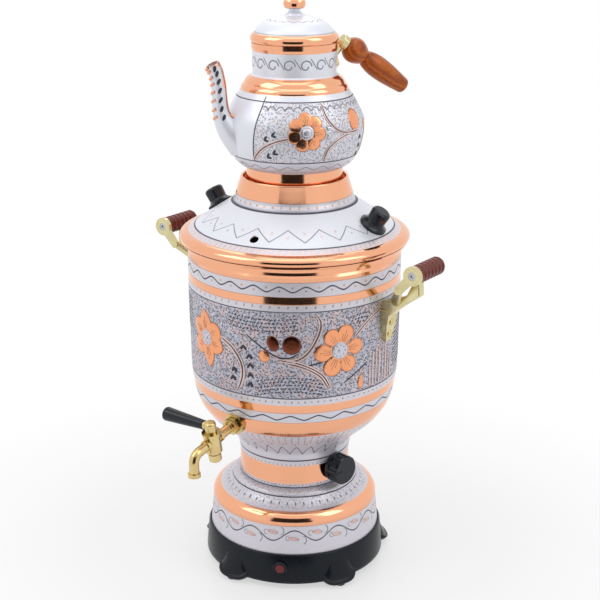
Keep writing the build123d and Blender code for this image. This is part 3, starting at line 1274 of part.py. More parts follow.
pot_knob = turned(
    [(0, pot_lid_top_height), (pot_knob_foot_radius, pot_lid_top_height)],
    [(pot_knob_foot_radius, pot_lid_top_height), (pot_knob_foot_radius - 1.2, pot_lid_top_height + 1.6),
     (pot_knob_waist_radius, pot_lid_top_height + 3.6),
     (pot_knob_waist_radius + 0.8, pot_lid_top_height + 5.2)],
    [(pot_knob_waist_radius + 0.8, pot_lid_top_height + 5.2),
     (pot_knob_radius - 0.5, pot_lid_top_height + 6.6),
     (pot_knob_radius, pot_lid_top_height + 9.0), (pot_knob_radius - 0.6, pot_lid_top_height + 12.0)],
    [(pot_knob_radius - 0.6, pot_lid_top_height + 12.0), (6.2, pot_lid_top_height + 14.0),
     (pot_knob_waist_radius, pot_lid_top_height + 17.4), (0, pot_lid_top_height + pot_knob_height)],
)
pot_knob += rod((0, 0, pot_lid_top_height - pot_knob_stud_length), (0, 0, pot_lid_top_height),
                pot_knob_stud_radius)
nodes["teapot_lid_knob"] = pot_knob
nodes["teapot_lid_nut"] = nut(
    Plane(origin=(0, 0, pot_lid_top_height - sheet)), pot_knob_stud_radius + play, 4.6, 3.2)

# ================================================================ files
os.makedirs("parts", exist_ok=True)
for name, shape in nodes.items():
    shape.label = name
    export_step(shape, f"parts/{name}.step")
print(len(nodes), "nodes")
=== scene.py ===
import json
import math

import bmesh
import bpy
from mathutils import Matrix, Vector
from mathutils.bvhtree import BVHTree


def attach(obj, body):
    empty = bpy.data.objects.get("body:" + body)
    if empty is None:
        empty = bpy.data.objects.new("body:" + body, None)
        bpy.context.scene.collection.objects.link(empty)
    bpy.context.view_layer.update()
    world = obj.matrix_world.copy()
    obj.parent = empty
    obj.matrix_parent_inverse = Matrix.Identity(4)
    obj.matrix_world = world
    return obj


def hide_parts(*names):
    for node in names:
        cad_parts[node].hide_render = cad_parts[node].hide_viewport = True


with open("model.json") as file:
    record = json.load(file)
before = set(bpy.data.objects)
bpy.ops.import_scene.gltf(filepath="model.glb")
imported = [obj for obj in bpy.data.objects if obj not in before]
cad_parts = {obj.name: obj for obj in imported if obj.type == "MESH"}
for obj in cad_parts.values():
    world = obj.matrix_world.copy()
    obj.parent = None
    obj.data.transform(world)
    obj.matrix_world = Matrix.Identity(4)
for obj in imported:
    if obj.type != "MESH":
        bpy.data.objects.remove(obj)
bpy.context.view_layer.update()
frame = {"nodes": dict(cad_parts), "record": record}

mm = 0.001
nodes = frame["nodes"]
print("frame loaded:", len(nodes), "nodes")


# Shader maths

def mathOf(operation):
    return lambda wire, *others: wire.math(operation, *others)


def mathFrom(operation):
    # the same with the plain number first
    return lambda wire, other: wire.shader.number(other).math(operation, wire)


class Wire:
    # one value in a shader; sums on it add Math nodes, and | takes the larger of two
    def __init__(self, shader, socket):
        self.shader, self.socket = shader, socket

    def math(self, operation, *others, clamp=False):
        return self.shader.node("Math", {"operation": operation, "use_clamp": clamp},
                                dict(enumerate((self, *others))))

    __add__ = __radd__ = mathOf("ADD")
    __mul__ = __rmul__ = mathOf("MULTIPLY")
    __or__ = __ror__ = mathOf("MAXIMUM")
    __sub__, __rsub__ = mathOf("SUBTRACT"), mathFrom("SUBTRACT")
    __truediv__, __rtruediv__ = mathOf("DIVIDE"), mathFrom("DIVIDE")
    __gt__, __lt__ = mathOf("GREATER_THAN"), mathOf("LESS_THAN")
    __abs__, cos = mathOf("ABSOLUTE"), mathOf("COSINE")

    def __neg__(self):
        return self * -1.0

    def clamped(self):
        return self.math("ADD", 0.0, clamp=True)

    def within(self, half, soft=0.12):
        # 1 where the size of the value is under half, with a soft edge
        return ((half + soft - abs(self)) / (2 * soft)).clamped()

    def between(self, low, high, soft=0.12):
        return (self - (low + high) / 2).within((high - low) / 2, soft)


def farFrom(across, up):
    return (across * across + up * up).math("SQRT")


class Shader:
    # the nodes of one material, or of the world
    perRow, stepAcross, stepDown = 12, 180, 220

    def __init__(self, name, tree=None):
        self.material = None
        if tree is None:
            self.material = bpy.data.materials.new(name)
            self.material.use_nodes = True
            tree = self.material.node_tree
        self.tree = tree
        tree.nodes.clear()
        self.count = 0

    def node(self, kind, settings=None, inputs=None, output=0):
        made = self.tree.nodes.new("ShaderNode" + kind)
        row, column = divmod(self.count, self.perRow)
        made.location = (self.stepAcross * column, -self.stepDown * row)
        self.count += 1
        for key, value in (settings or {}).items():
            setattr(made, key, value)
        for key, value in (inputs or {}).items():
            self.feed(made.inputs[key], value)
        return Wire(self, made.outputs[output]) if len(made.outputs) else None

    def feed(self, socket, value):
        if isinstance(value, Wire):
            self.tree.links.new(value.socket, socket)
        elif isinstance(value, (tuple, list)) and socket.type == "RGBA" and len(value) == 3:
            socket.default_value = (*value, 1.0)
        else:
            socket.default_value = value

    def number(self, value):
        wire = self.node("Value")
        wire.socket.default_value = value
        return wire

    def mix(self, factor, first, second):
        return self.node("Mix", {"data_type": "RGBA"}, {0: factor, 6: first, 7: second}, output=2)

    def place(self):
        # the point in the object's own coordinates
        return self.node("TexCoord", output=3)

    def moved(self, place, scale=(1, 1, 1), location=(0, 0, 0), rotation=(0, 0, 0)):
        return self.node("Mapping", {}, {"Vector": place, "Location": location,
                                         "Rotation": rotation, "Scale": scale})

    def noise(self, place, scale, detail=3.0, roughness=0.5):
        return self.node("TexNoise", {}, {"Vector": place, "Scale": scale, "Detail": detail,
                                          "Roughness": roughness})

    def axes(self, place):
        split = self.node("SeparateXYZ", {}, {0: place})
        return [Wire(self, socket) for socket in split.socket.node.outputs]

    def round(self, place):
        # the angle from -Y towards +X in degrees, the distance from the axis and the height in mm
        x, y, z = self.axes(place)
        return x.math("ARCTAN2", -y) * (180 / math.pi), farFrom(x, y) / mm, z / mm

    def bump(self, height, strength=0.4, distance=0.0004, under=None):
        inputs = {"Height": height, "Strength": strength, "Distance": distance}
        if under:
            inputs["Normal"] = under
        return self.node("Bump", {}, inputs)

    def surface(self, **inputs):
        # baseColor stands for the socket Base Color, and so on
        named = {}
        for key, value in inputs.items():
            spaced = key[0].upper() + "".join(" " + c if c.isupper() else c for c in key[1:])
            named[spaced.replace("I O R", "IOR")] = value
        self.finish(self.node("BsdfPrincipled", {}, named))
        return self.material

    def finish(self, wire, kind="OutputMaterial"):
        self.node(kind, {}, {0: wire})


# Camera, floor, background and lamps

view = {
    "azimuth": 36.0, "distance": 1.1, "height": 0.59904, "pitch": 18.14,
    "lens": 78.06, "sensor": 36.0, "shift": 5.5 / 600, "clip": (0.05, 40.0),
}
studio = {
    "floorHeight": -0.005, "floorRadius": 9.0, "floorCorners": 96,
    "floorColour": (0.90, 0.90, 0.91), "floorRough": 0.22, "floorShine": 0.35,
    # how much of its own shade the floor shows, and from where to where that fades, in metres
    "ownShade": 0.42, "shadeFades": (0.18, 0.42),
    # a dark card between the lamps, seen only in polished metal
    "cardAzimuth": 31.7, "cardHalf": 26.0, "cardDistance": 0.655, "cardFoot": -0.003, "cardTop": 0.56,
    "cardColour": (0.012, 0.010, 0.010), "cardRough": 0.9, "cardSteps": 24,
    "worldGlow": 0.62, "aimHeight": 0.2,
    # azimuth, elevation, distance, size and glow
    "boxes": {
        "boxLeft": (-34, 48, 1.35, (0.75, 0.75), 1.9),
        "boxRight": (98, 44, 1.35, (0.60, 0.80), 1.7),
        "boxTop": (36, 86, 1.3, (0.8, 0.8), 0.8),
        "boxBack": (216, 50, 1.5, (0.9, 0.7), 1.1),
    },
}


def outward(azimuth, elevation=0.0):
    a, e = math.radians(azimuth), math.radians(elevation)
    return Vector((math.sin(a) * math.cos(e), -math.cos(a) * math.cos(e), math.sin(e)))


def newObject(name, bm, material, smooth=True):
    for face in bm.faces:
        face.smooth = smooth
    mesh = bpy.data.meshes.new(name)
    bm.to_mesh(mesh)
    bm.free()
    mesh.materials.append(material)
    made = bpy.data.objects.new(name, mesh)
    bpy.context.scene.collection.objects.link(made)
    return made


def makeCamera():
    data = bpy.data.cameras.new("camera")
    data.lens = view["lens"]
    data.sensor_width = view["sensor"]
    data.shift_x = view["shift"]
    data.clip_start, data.clip_end = view["clip"]
    camera = bpy.data.objects.new("camera", data)
    camera.location = outward(view["azimuth"]) * view["distance"] + Vector((0, 0, view["height"]))
    camera.rotation_euler = (math.radians(90 - view["pitch"]), 0, math.radians(view["azimuth"]))
    bpy.context.scene.collection.objects.link(camera)
    bpy.context.scene.camera = camera


def seenRays(shader):
    # 1 for the camera and for what metal and glass show, 0 for light on the object
    sockets = shader.node("LightPath").socket.node.outputs
    camera, glossy, through = (Wire(shader, sockets["Is %s Ray" % kind])
                               for kind in ("Camera", "Glossy", "Transmission"))
    return camera | glossy | through


def makeFloor():
    s = Shader("paleFloor")
    reach = s.round(s.place())[1]
    low, high = studio["shadeFades"]
    near = 1 - ((reach * mm - low) / (high - low)).clamped()
    shaded = s.node("BsdfPrincipled", {}, {
        "Base Color": studio["floorColour"], "Roughness": studio["floorRough"],
        "Specular IOR Level": studio["floorShine"]})
    glow = s.node("Emission", {}, {"Color": (1.0, 1.0, 1.0), "Strength": 1.0})
    factor = seenRays(s) * (1 - near * studio["ownShade"])
    s.finish(s.node("MixShader", {}, {0: factor, 1: shaded, 2: glow}))
    bm = bmesh.new()
    bmesh.ops.create_circle(bm, cap_ends=True, segments=studio["floorCorners"], radius=studio["floorRadius"])
    bmesh.ops.translate(bm, vec=(0, 0, studio["floorHeight"]), verts=bm.verts)
    newObject("floor", bm, s.material, smooth=False)


def makeCard():
    s = Shader("darkCard")
    s.surface(baseColor=studio["cardColour"], roughness=studio["cardRough"])
    bm = bmesh.new()
    foot = outward(studio["cardAzimuth"] - studio["cardHalf"]) * studio["cardDistance"]
    low, high = (bm.verts.new((foot.x, foot.y, studio[end])) for end in ("cardFoot", "cardTop"))
    edge = bm.edges.new((low, high))
    bmesh.ops.spin(bm, geom=[low, high, edge], axis=(0, 0, 1), cent=(0, 0, 0), steps=studio["cardSteps"],
                   angle=math.radians(2 * studio["cardHalf"]))
    card = newObject("darkCard", bm, s.material)
    card.visible_camera = False
    card.visible_diffuse = False
    card.visible_shadow = False


def makeWorld():
    world = bpy.data.worlds.new("studio")
    bpy.context.scene.world = world
    world.use_nodes = True
    s = Shader("studio", world.node_tree)
    seen = seenRays(s)
    strength = seen + (1 - seen) * studio["worldGlow"]
    s.finish(s.node("Background", {}, {"Color": (1.0, 1.0, 1.0), "Strength": strength}), "OutputWorld")


def makeLamps():
    for name, (azimuth, elevation, distance, size, glow) in studio["boxes"].items():
        data = bpy.data.lights.new(name, "AREA")
        data.shape = "RECTANGLE"
        data.size, data.size_y = size
        data.energy = glow * math.pi * size[0] * size[1]
        lamp = bpy.data.objects.new(name, data)
        aim = outward(azimuth, elevation)
        lamp.location = aim * distance + Vector((0, 0, studio["aimHeight"]))
        lamp.rotation_mode = "QUATERNION"
        lamp.rotation_quaternion = aim.to_track_quat("Z", "Y")
        bpy.context.scene.collection.objects.link(lamp)


makeCamera()
makeFloor()
makeCard()
makeWorld()
makeLamps()
bpy.context.scene.view_settings.view_transform = "Standard"
print("camera, floor and lamps ready")


# Spun shells: copper, tinned in bands, with engraved work

tone = {
    "copper": (0.90, 0.45, 0.27), "darkCopper": (0.84, 0.38, 0.21),
    # the third tin is painted lighter and bluer with a reflection of the sky
    "tin": (0.77, 0.75, 0.81), "dullTin": (0.67, 0.65, 0.72), "tinWithPaintedSky": (0.86, 0.90, 0.98),
    "ground": (0.74, 0.72, 0.80), "darkGround": (0.50, 0.50, 0.59), "paleGround": (0.88, 0.89, 0.95),
    "blush": (0.78, 0.56, 0.52),
    "groove": (0.045, 0.045, 0.075), "stroke": (0.035, 0.035, 0.060),
    "brass": (0.74, 0.58, 0.28), "darkBrass": (0.52, 0.36, 0.12),
    "oliveBrass": (0.72, 0.65, 0.38), "darkOlive": (0.46, 0.38, 0.16),
    "black": (0.006, 0.009, 0.014), "dustyBlack": (0.013, 0.017, 0.024),
}
sheet = {
    # scales of the grain, clouds, specks, hammer marks and copper blush of the metal
    "grain": 46.0, "grainLong": 26, "cloud": 21.0, "speck": 900.0, "hammer": 330.0, "blush": 105.0,
    # roughness of copper, and what tin, worked ground, cuts and grain add to it
    "copperRough": 0.10, "tinRough": 0.24, "groundRough": 0.08, "cutRough": 0.2, "grainRough": 0.05,
    # what tin, bright tin and cuts take from the metallic value
    "tinDull": 0.62, "brightDull": 0.1, "cutDull": 0.8,
    # heights of the bump
    "strokeDeep": 0.6, "tinThick": 0.12, "grainHigh": 0.02, "hammerHigh": 0.35,
}
graver = {
    # soft edges of bands, of rings and dots, and of waves, in mm, and the fine line round a bare dot
    "tinSoft": 0.15, "soft": 0.2, "waveSoft": 0.22, "rim": 0.16, "rimDepth": 0.55,
    # chisel strokes: scale and turn of their flow, how sharp they are, scale of their gaps
    "flow": 0.16, "flowTurn": 11.0, "sharp": 20.0, "gaps": 7.3,
}


class Banded(Shader):
    # bands is a dictionary of tin bands, bright bands of polished tin with a painted sky reflection, rings,
    # waves, dots and punched dots
    def __init__(self, name, bands):
        super().__init__(name)
        self.spot = self.place()
        self.angle, self.reach, self.height = self.round(self.spot)
        self.tinned, self.bare, self.bright = (self.number(0.0) for _ in range(3))
        self.cut, self.punched, self.matt, self.pale = (self.number(0.0) for _ in range(4))
        self.swell = None
        for low, high in bands.get("tin", ()):
            self.tinned = self.tinned | self.height.between(low, high, graver["tinSoft"])
        for low, high, share in bands.get("bright", ()):
            self.bright = self.bright | self.height.between(low, high) * share
        for height, half, depth in bands.get("rings", ()):
            self.carve((self.height - height).within(half, graver["soft"]), depth)
        for wave in bands.get("waves", ()):
            self.wave(*wave)
        for dots in bands.get("dots", ()):
            self.dots(*dots)
        for dots in bands.get("punched", ()):
            self.dots(*dots, bare=False)

    def carve(self, line, depth=1.0):
        self.cut = self.cut | line * depth

    def scrape(self, area, share=1.0):
        # takes the tin off down to the copper
        self.bare = self.bare | area * share

    def local(self, count, phase):
        # degrees from the middle of the nearest of count places round the axis
        step = 360.0 / count
        turned = (self.angle - phase) / step + 0.5
        return (turned - turned.math("FLOOR") - 0.5) * step

    def arc(self, degrees, radius):
        return degrees * (math.pi / 180 * radius)

    def beat(self, count, phase, pointed=0.0):
        # from 1 to -1 and back, count times round the axis; pointed 1 is a zigzag
        smooth = ((self.angle - phase) * (count * math.pi / 180)).cos()
        if not pointed:
            return smooth
        return smooth * (1 - pointed) + (smooth.math("ARCCOSINE") * (-2 / math.pi) + 1) * pointed

    def wave(self, count, phase, middle, swing, half, pointed, depth):
        line = self.height - middle - self.beat(count, phase, pointed) * swing
        self.carve(line.within(half, graver["waveSoft"]), depth)

    def dots(self, count, phase, radius, height, size, turn=0.0, stretch=1.0, bare=True):
        across = self.arc(self.local(count, phase), radius)
        up = self.height - height
        if turn:
            across, up = across + up * turn, up - across * turn
        far = (across * across + up * up / (stretch * stretch)).math("SQRT")
        spot = far.within(size, graver["soft"])
        if bare:
            self.scrape(spot)
            self.carve((far - size).within(graver["rim"], graver["rim"]), graver["rimDepth"])
        else:
            self.carve(spot)

    def chisel(self, radius, size, share, length, width, seed):
        # short chisel strokes that lie along a slow flow
        flat = self.node("CombineXYZ", {}, {
            0: self.arc(self.angle, radius) / size + seed, 1: self.height / size})
        cell = self.node("TexVoronoi", {"voronoi_dimensions": "2D"},
                         {"Vector": flat, "Scale": 1.0}, output=2)
        dx, dy, _ = self.axes(self.node("VectorMath", {"operation": "SUBTRACT"}, {0: flat, 1: cell}))
        moved = self.moved(cell, location=(seed, 0, 0))
        turn = self.noise(moved, graver["flow"], detail=1.0) * graver["flowTurn"]
        c, s = turn.cos(), turn.math("SINE")
        along = dx * c + dy * s
        across = dy * c - dx * s
        taper = 1 - (along / length) * (along / length)
        mark = ((width * taper - abs(across)) * graver["sharp"]).clamped()
        return mark * (self.noise(cell, graver["gaps"], detail=0.0) > (1 - share))

    def workGround(self, area, radius, passes, weight=1.0):
        for *strokes, depth in passes:
            self.punched = self.punched | self.chisel(radius, *strokes) * depth * area * weight
        self.matt = area

    def metal(self):
        grained = self.moved(self.spot, scale=(1, 1, sheet["grainLong"]))
        fine = self.noise(grained, sheet["grain"], detail=4.0)
        cloud = self.noise(self.spot, sheet["cloud"])
        speck = self.noise(self.spot, sheet["speck"], detail=2.0)
        hammer = self.noise(self.spot, sheet["hammer"], detail=2.0)
        blush = self.noise(self.spot, sheet["blush"], detail=1.0) > 0.56
        copper = self.mix(cloud * 0.5, tone["copper"], tone["darkCopper"])
        # bright tin: polished tin, painted lighter and bluer with a reflection of the sky
        cleanTin = self.mix(self.bright, tone["tin"], tone["tinWithPaintedSky"])
        dullTin = self.mix(self.bright, tone["dullTin"], tone["tin"])
        ground = self.mix((hammer - 0.4) * 2.5, tone["darkGround"], tone["ground"])
        ground = self.mix(blush * 0.45, ground, tone["blush"])
        ground = self.mix(self.pale * 0.6, ground, tone["paleGround"])
        tin = self.mix(self.matt, self.mix(cloud * 0.5 + speck * 0.25, cleanTin, dullTin), ground)
        show = self.tinned * (1 - self.bare)
        colour = self.mix(show, copper, tin)
        colour = self.mix(self.punched * 0.9, colour, tone["stroke"])
        colour = self.mix(self.cut, colour, tone["groove"])
        dull = self.cut | self.punched
        metallic = 1 - show * sheet["tinDull"] - self.bright * show * sheet["brightDull"]
        rough = (sheet["copperRough"] + show * sheet["tinRough"] + self.matt * sheet["groundRough"]
                 + dull * sheet["cutRough"] + fine * sheet["grainRough"])
        height = (1 - self.cut - self.punched * sheet["strokeDeep"] + show * sheet["tinThick"]
                  + fine * sheet["grainHigh"] + self.matt * hammer * sheet["hammerHigh"])
        under = self.bump(self.swell, 1.0, 0.001) if self.swell else None
        return self.surface(baseColor=colour, metallic=metallic * (1 - dull * sheet["cutDull"]),
                            roughness=rough, normal=self.bump(height, 0.5, 0.0004, under))


# All sizes below are in mm and all angles in degrees. A band has its lower and upper edge, and a
# bright one its share. A ring has its height, half width and depth. A wave has its count, first
# crest, middle height, swing, half width, pointedness and depth. A row of dots has its count,
# first place, radius, height and size, and where they aren't round also their lean and stretch.
# A chisel pass has the strokes' size, share of the cells, length, width, seed and depth.

tankBands = {
    "tin": ((100, 142), (158.2, 167.4), (175, 264.3), (271.3, 283.4)),
    "rings": ((181.6, 0.5, 1), (258.2, 0.45, 1), (271.2, 0.22, 0.5), (283.5, 0.22, 0.5),
              (264.4, 0.22, 0.4), (158.1, 0.2, 0.4), (167.5, 0.2, 0.4)),
    "waves": ((30, 25.6, 118.2, 5.6, 0.75, 0.75, 1), (24, 33.8, 162.9, 2.1, 0.6, 0.5, 1),
              (27, 28.4, 277.7, 2.3, 0.62, 0.25, 1)),
    "dots": ((42, 2.0, 66, 128.6, 0.75), (27, 28.4, 93.5, 276.4, 0.7),
             (27, 28.4 + 180 / 27, 93.5, 279.2, 0.7), (104, 0.0, 92, 178.3, 0.6),
             (78, 0.4, 93.5, 262.2, 0.62, -0.35, 1.9)),
    "punched": ((84, 0.0, 78, 139.6, 0.6), (52, 0.0, 92, 178.3, 0.45)),
    "slants": {"count": 84, "radius": 72, "band": (129, 138.5, 0.4), "middle": 133, "lean": 0.06,
               "half": 0.45, "soft": 0.25, "share": 0.4},
    "panel": (182.2, 257.6, 0.3), "panelRadius": 93,
    "passes": ((2.9, 0.62, 0.52, 0.17, 0.0, 1.0), (2.1, 0.6, 0.5, 0.17, 31.7, 0.85)),
    "bead": {"middle": 286.65, "half": 2.65, "swell": 1.3},
}


def tankMetal():
    work = tankBands
    s = Banded("tankMetal", work)
    slants = work["slants"]
    line = s.arc(s.local(slants["count"], 0.0), slants["radius"])
    line = line + (s.height - slants["middle"]) * slants["lean"]
    band = s.height.between(*slants["band"])
    s.scrape(line.within(slants["half"], slants["soft"]) * band, slants["share"])
    s.workGround(s.height.between(*work["panel"]), work["panelRadius"], work["passes"])
    bead = work["bead"]  # rounded, under the rim
    s.swell = ((1 - abs(s.height - bead["middle"]) / bead["half"]) * bead["swell"]) | 0.0
    return s.metal()


pedestalBands = {
    "tin": ((20, 53.4), (64.6, 82.2), (99.4, 110)),
    "rings": ((53.5, 0.2, 0.4), (73.2, 0.5, 1), (78.6, 0.5, 1), (105.2, 0.65, 1)),
    "waves": ((12, 36.0, 44.5, 5.0, 0.55, 0.0, 1),),
    "dots": ((90, 0.0, 49.7, 81.0, 0.4), (78, 0.0, 49.7, 100.6, 0.4, 0.0, 1.3)),
    "punched": ((52, 2.3, 60.5, 68.6, 0.5, 0.0, 2.2),),
    "vine": {
        # first leaf, its height, and which way its tail and curl turn
        "count": 12, "radius": 76, "leaves": ((36.0, 41.8, 1), (51.0, 47.6, -1)), "lean": 0.12,
        # the leaf's half length and height squared, its shift and the length of its midrib
        "long": 19, "high": 3.0, "shift": 0.6, "midrib": 3.0, "fine": 0.16, "fineSoft": 0.14,
        # where the tail and the curl have their centres, and their radii and half widths
        "tail": (6.3, 1.2, 4.2, 0.35), "tailTop": 2.6, "curl": (5.4, 0.6, 2.2, 0.28),
    },
    "frosted": (65.4, 82.0, 0.3), "frostScale": 640.0, "frostFrom": 0.56, "frostDepth": 0.35,
}


def pedestalMetal():
    work = pedestalBands
    s = Banded("pedestalMetal", work)
    vine = work["vine"]
    fine, fineSoft = vine["fine"], vine["fineSoft"]
    for phase, height, sign in vine["leaves"]:
        across = s.arc(s.local(vine["count"], phase), vine["radius"])
        up = s.height - height
        slope = up + across * vine["lean"]
        shifted = across + vine["shift"] * sign
        leaf = shifted * shifted / vine["long"] + slope * slope / vine["high"]
        s.scrape((1.0 - leaf).math("MULTIPLY", 4.0, clamp=True), 0.55)
        s.carve((leaf - 1.0).within(fine, fineSoft), 0.75)
        s.carve(slope.within(fine, fineSoft) * across.within(vine["midrib"], 0.5), 0.7)
        away, drop, radius, half = vine["tail"]
        tailAcross, tailUp = across - away, up + drop * sign
        tail = (farFrom(tailAcross, tailUp) - radius).within(half, 0.2)
        s.carve(tail * (tailAcross + tailUp * sign * 0.4 > 0.4) * (up * sign < vine["tailTop"]), 0.8)
        away, drop, radius, half = vine["curl"]
        curlAcross = across + away
        curl = (farFrom(curlAcross, up - drop * sign) - radius).within(half, 0.18)
        s.carve(curl * (curlAcross < 0.7), 0.7)
    grain = s.noise(s.spot, work["frostScale"], detail=2.0, roughness=0.6)
    frosted = (grain > work["frostFrom"]) * s.height.between(*work["frosted"])
    s.punched = s.punched | frosted * work["frostDepth"]
    return s.metal()


lidBands = {
    # the cone is bright tin, painted with a reflection of the sky
    "tin": ((306.6, 338.4),), "bright": ((309.8, 331.9, 1),),
    "rings": ((310.0, 0.35, 1), (331.4, 0.55, 1)),
    "dots": ((43, 23.7, 52.2, 335.2, 0.85),),
    # a zigzag on the cone, worked along the radius, with a dot in each of its corners
    "cone": (311, 331), "zigzags": 17, "firstZigzag": 31.7, "zigzagReach": 75.3, "zigzagSwing": 5.7,
    "zigzagHalf": 0.42, "cornerReach": (76.6, 72.9), "cornerDot": 0.75, "cornerRim": 1.0,
    # slanted strokes round the edge
    "edge": (87.9, 92.0, 0.3), "strokes": 108, "strokeReach": 90, "strokeLean": 0.2, "strokeHalf": 0.7,
}


def lidMetal():
    s = Banded("lidMetal", lidBands)
    work = lidBands
    onCone = s.height.between(*work["cone"])
    swing = s.beat(work["zigzags"], work["firstZigzag"], 1.0) * work["zigzagSwing"]
    s.carve((s.reach - work["zigzagReach"] + swing).within(work["zigzagHalf"], 0.25) * onCone, 0.85)
    for corner, reach in enumerate(work["cornerReach"]):
        phase = work["firstZigzag"] + corner * 180 / work["zigzags"]
        far = farFrom(s.arc(s.local(work["zigzags"], phase), reach), s.reach - reach)
        s.scrape(far.within(work["cornerDot"], 0.3) * onCone, 0.75)
        s.carve((far - work["cornerRim"]).within(0.15, 0.15) * onCone, 0.35)
    line = s.arc(s.local(work["strokes"], 0.0), work["strokeReach"])
    line = line + (s.reach - work["strokeReach"]) * work["strokeLean"]
    s.scrape(line.within(work["strokeHalf"], 0.3) * s.reach.between(*work["edge"]), 0.6)
    return s.metal()


potBands = {
    "tin": ((300, 427.4), (439.2, 459.4)), "bright": ((439, 460, 1), (300, 373, 0.5)),
    "rings": ((373.6, 0.45, 1), (422.6, 0.4, 1)), "waves": ((22, 30.0, 368.4, 1.5, 0.35, 0.3, 0.7),),
    # the panel leaves the side of the spout plain, up to a slanted border
    "spoutAngle": -32.0, "panel": (373.8, 422.4, 0.3), "panelRadius": 57, "panelDepth": 0.62,
    "border": 34.3, "borderLean": 0.145, "borderMiddle": 399.0, "borderBand": (373.8, 426.5, 0.3),
    "plainBand": (373, 427),
    "passes": ((2.9, 0.62, 0.52, 0.16, 0.0, 1.0), (2.2, 0.6, 0.5, 0.17, 17.3, 0.8)),
    "scallops": {"count": 46, "radius": 54, "height": 415.8, "size": 3.4, "half": 0.4, "from": 0.4},
    # scrolls round the neck, each with a link to the next
    "scrolls": {"count": 16, "first": 6.2, "radius": 35.5, "height": 449.8, "band": (443.2, 457.6, 0.2),
                "size": 3.6, "pitch": 1.5, "half": 0.55, "linkFirst": -4.6, "linkUp": 1.6, "linkSlope": 1.5,
                "linkHalf": 0.75, "linkLong": 3.0},
}


def potMetal():
    work = potBands
    s = Banded("potMetal", work)
    fold = abs(s.angle - work["spoutAngle"]).math("PINGPONG", 180.0)
    border = fold - work["border"] - (s.height - work["borderMiddle"]) * work["borderLean"]
    panel = s.height.between(*work["panel"]) * (border > 0)
    s.carve(border.within(0.55, 0.3) * s.height.between(*work["borderBand"]))
    # the plain side of the spout is bright tin too, with its painted sky reflection
    s.bright = s.bright | (1 - panel) * s.height.between(*work["plainBand"])
    s.workGround(panel, work["panelRadius"], work["passes"], work["panelDepth"])
    s.pale = panel
    row = work["scallops"]
    up = s.height - row["height"]
    far = farFrom(s.arc(s.local(row["count"], 0.0), row["radius"]), up)
    s.carve((far - row["size"]).within(row["half"], 0.25) * (up > row["from"]) * panel, 0.75)
    row = work["scrolls"]
    up = s.height - row["height"]
    across = s.arc(s.local(row["count"], row["first"]), row["radius"])
    neck = s.height.between(*row["band"])
    spiral = farFrom(across, up) - row["size"] - up.math("ARCTAN2", -across) * (row["pitch"] / math.pi)
    s.carve(spiral.within(row["half"], 0.25) * neck, 0.75)
    link = s.arc(s.local(row["count"], row["linkFirst"]), row["radius"])
    line = up - row["linkUp"] + link * row["linkSlope"]
    s.carve(line.within(row["linkHalf"], 0.35) * link.within(row["linkLong"], 0.3) * neck, 0.75)
    return s.metal()


potLidBands = {
    "tin": ((474, 500),), "bright": ((474, 500, 1),),
    # a wave on the top, worked along the radius, and a line near the edge
    "crests": 18, "firstCrest": 4.0, "waveReach": 21.6, "waveSwing": 1.0, "top": (474, 500),
    "edgeReach": 33.6, "edge": (473, 476), "half": 0.3,
}


def potLidMetal():
    work = potLidBands
    s = Banded("potLidMetal", work)
    line = s.reach - work["waveReach"] + s.beat(work["crests"], work["firstCrest"]) * work["waveSwing"]
    s.carve(line.within(work["half"], 0.2) * s.height.between(*work["top"]), 0.8)
    s.carve((s.reach - work["edgeReach"]).within(work["half"], 0.2) * s.height.between(*work["edge"]), 0.4)
    return s.metal()


collarBands = {
    "tin": ((330, 338.4),), "rings": ((338.5, 0.25, 0.5),), "dots": ((43, 23.7, 52.2, 335.2, 0.85),),
}
potKnobBands = {
    # the knob's foot is tinned, its head is left copper
    "tin": ((480, 493.4),), "bright": ((480, 493.4, 1),), "rings": ((493.5, 0.25, 0.6), (503.2, 0.25, 0.4)),
}
spoutBands = {
    # the tin is worn in patches on the upper part, and mostly off at the lip; the tin is bright, with a
    # painted sky reflection
    "bright": 0.8, "patchScale": 70.0, "patchLong": 0.4, "patchFrom": 0.56, "patchBand": (404, 470, 6.0),
    "patchShare": 0.35, "lip": (449.2, 470, 0.4), "lipShare": 0.6,
}


def spoutMetal():
    work = spoutBands
    s = Banded("spoutMetal", {})
    s.tinned = s.number(1.0)
    s.bright = s.number(work["bright"])
    patches = s.noise(s.moved(s.spot, scale=(1, 1, work["patchLong"])), work["patchScale"], detail=2.0)
    upper = s.height.between(*work["patchBand"])
    s.scrape((patches > work["patchFrom"]) * work["patchShare"] * upper)
    s.scrape(s.height.between(*work["lip"]), work["lipShare"])
    return s.metal()


# Other finishes

def brassMetal(name="castBrass", bright="brass", dark="darkBrass"):
    s = Shader(name)
    spot = s.place()
    cloud = s.noise(spot, 60.0, detail=4.0)
    grain = s.noise(spot, 700.0, detail=2.0)
    colour = s.mix((cloud - 0.35) * 1.6, tone[bright], tone[dark])
    return s.surface(baseColor=colour, metallic=1.0, roughness=0.14 + cloud * 0.10 + grain * 0.05,
                     normal=s.bump(cloud * 0.7 + grain * 0.15, 0.25, 0.0006))


def raisedWork(name, bright, dull, metallic=1.0):
    # raised work: bright in the middle, dark where it meets the ground
    s = Shader(name)
    spot = s.place()
    edge = s.node("Attribute", {"attribute_name": "edge"}, output=2)
    grain = s.noise(spot, 700.0)
    cloud = s.noise(spot, 90.0, detail=2.0)
    dark = (1 - edge) * 0.95
    colour = s.mix(dark, s.mix(cloud * 0.5, bright, dull), (0.10, 0.055, 0.055))
    return s.surface(baseColor=colour, metallic=metallic, roughness=0.13 + dark * 0.3 + grain * 0.10,
                     normal=s.bump(grain * 0.4 + cloud * 0.3, 0.35, 0.0004))


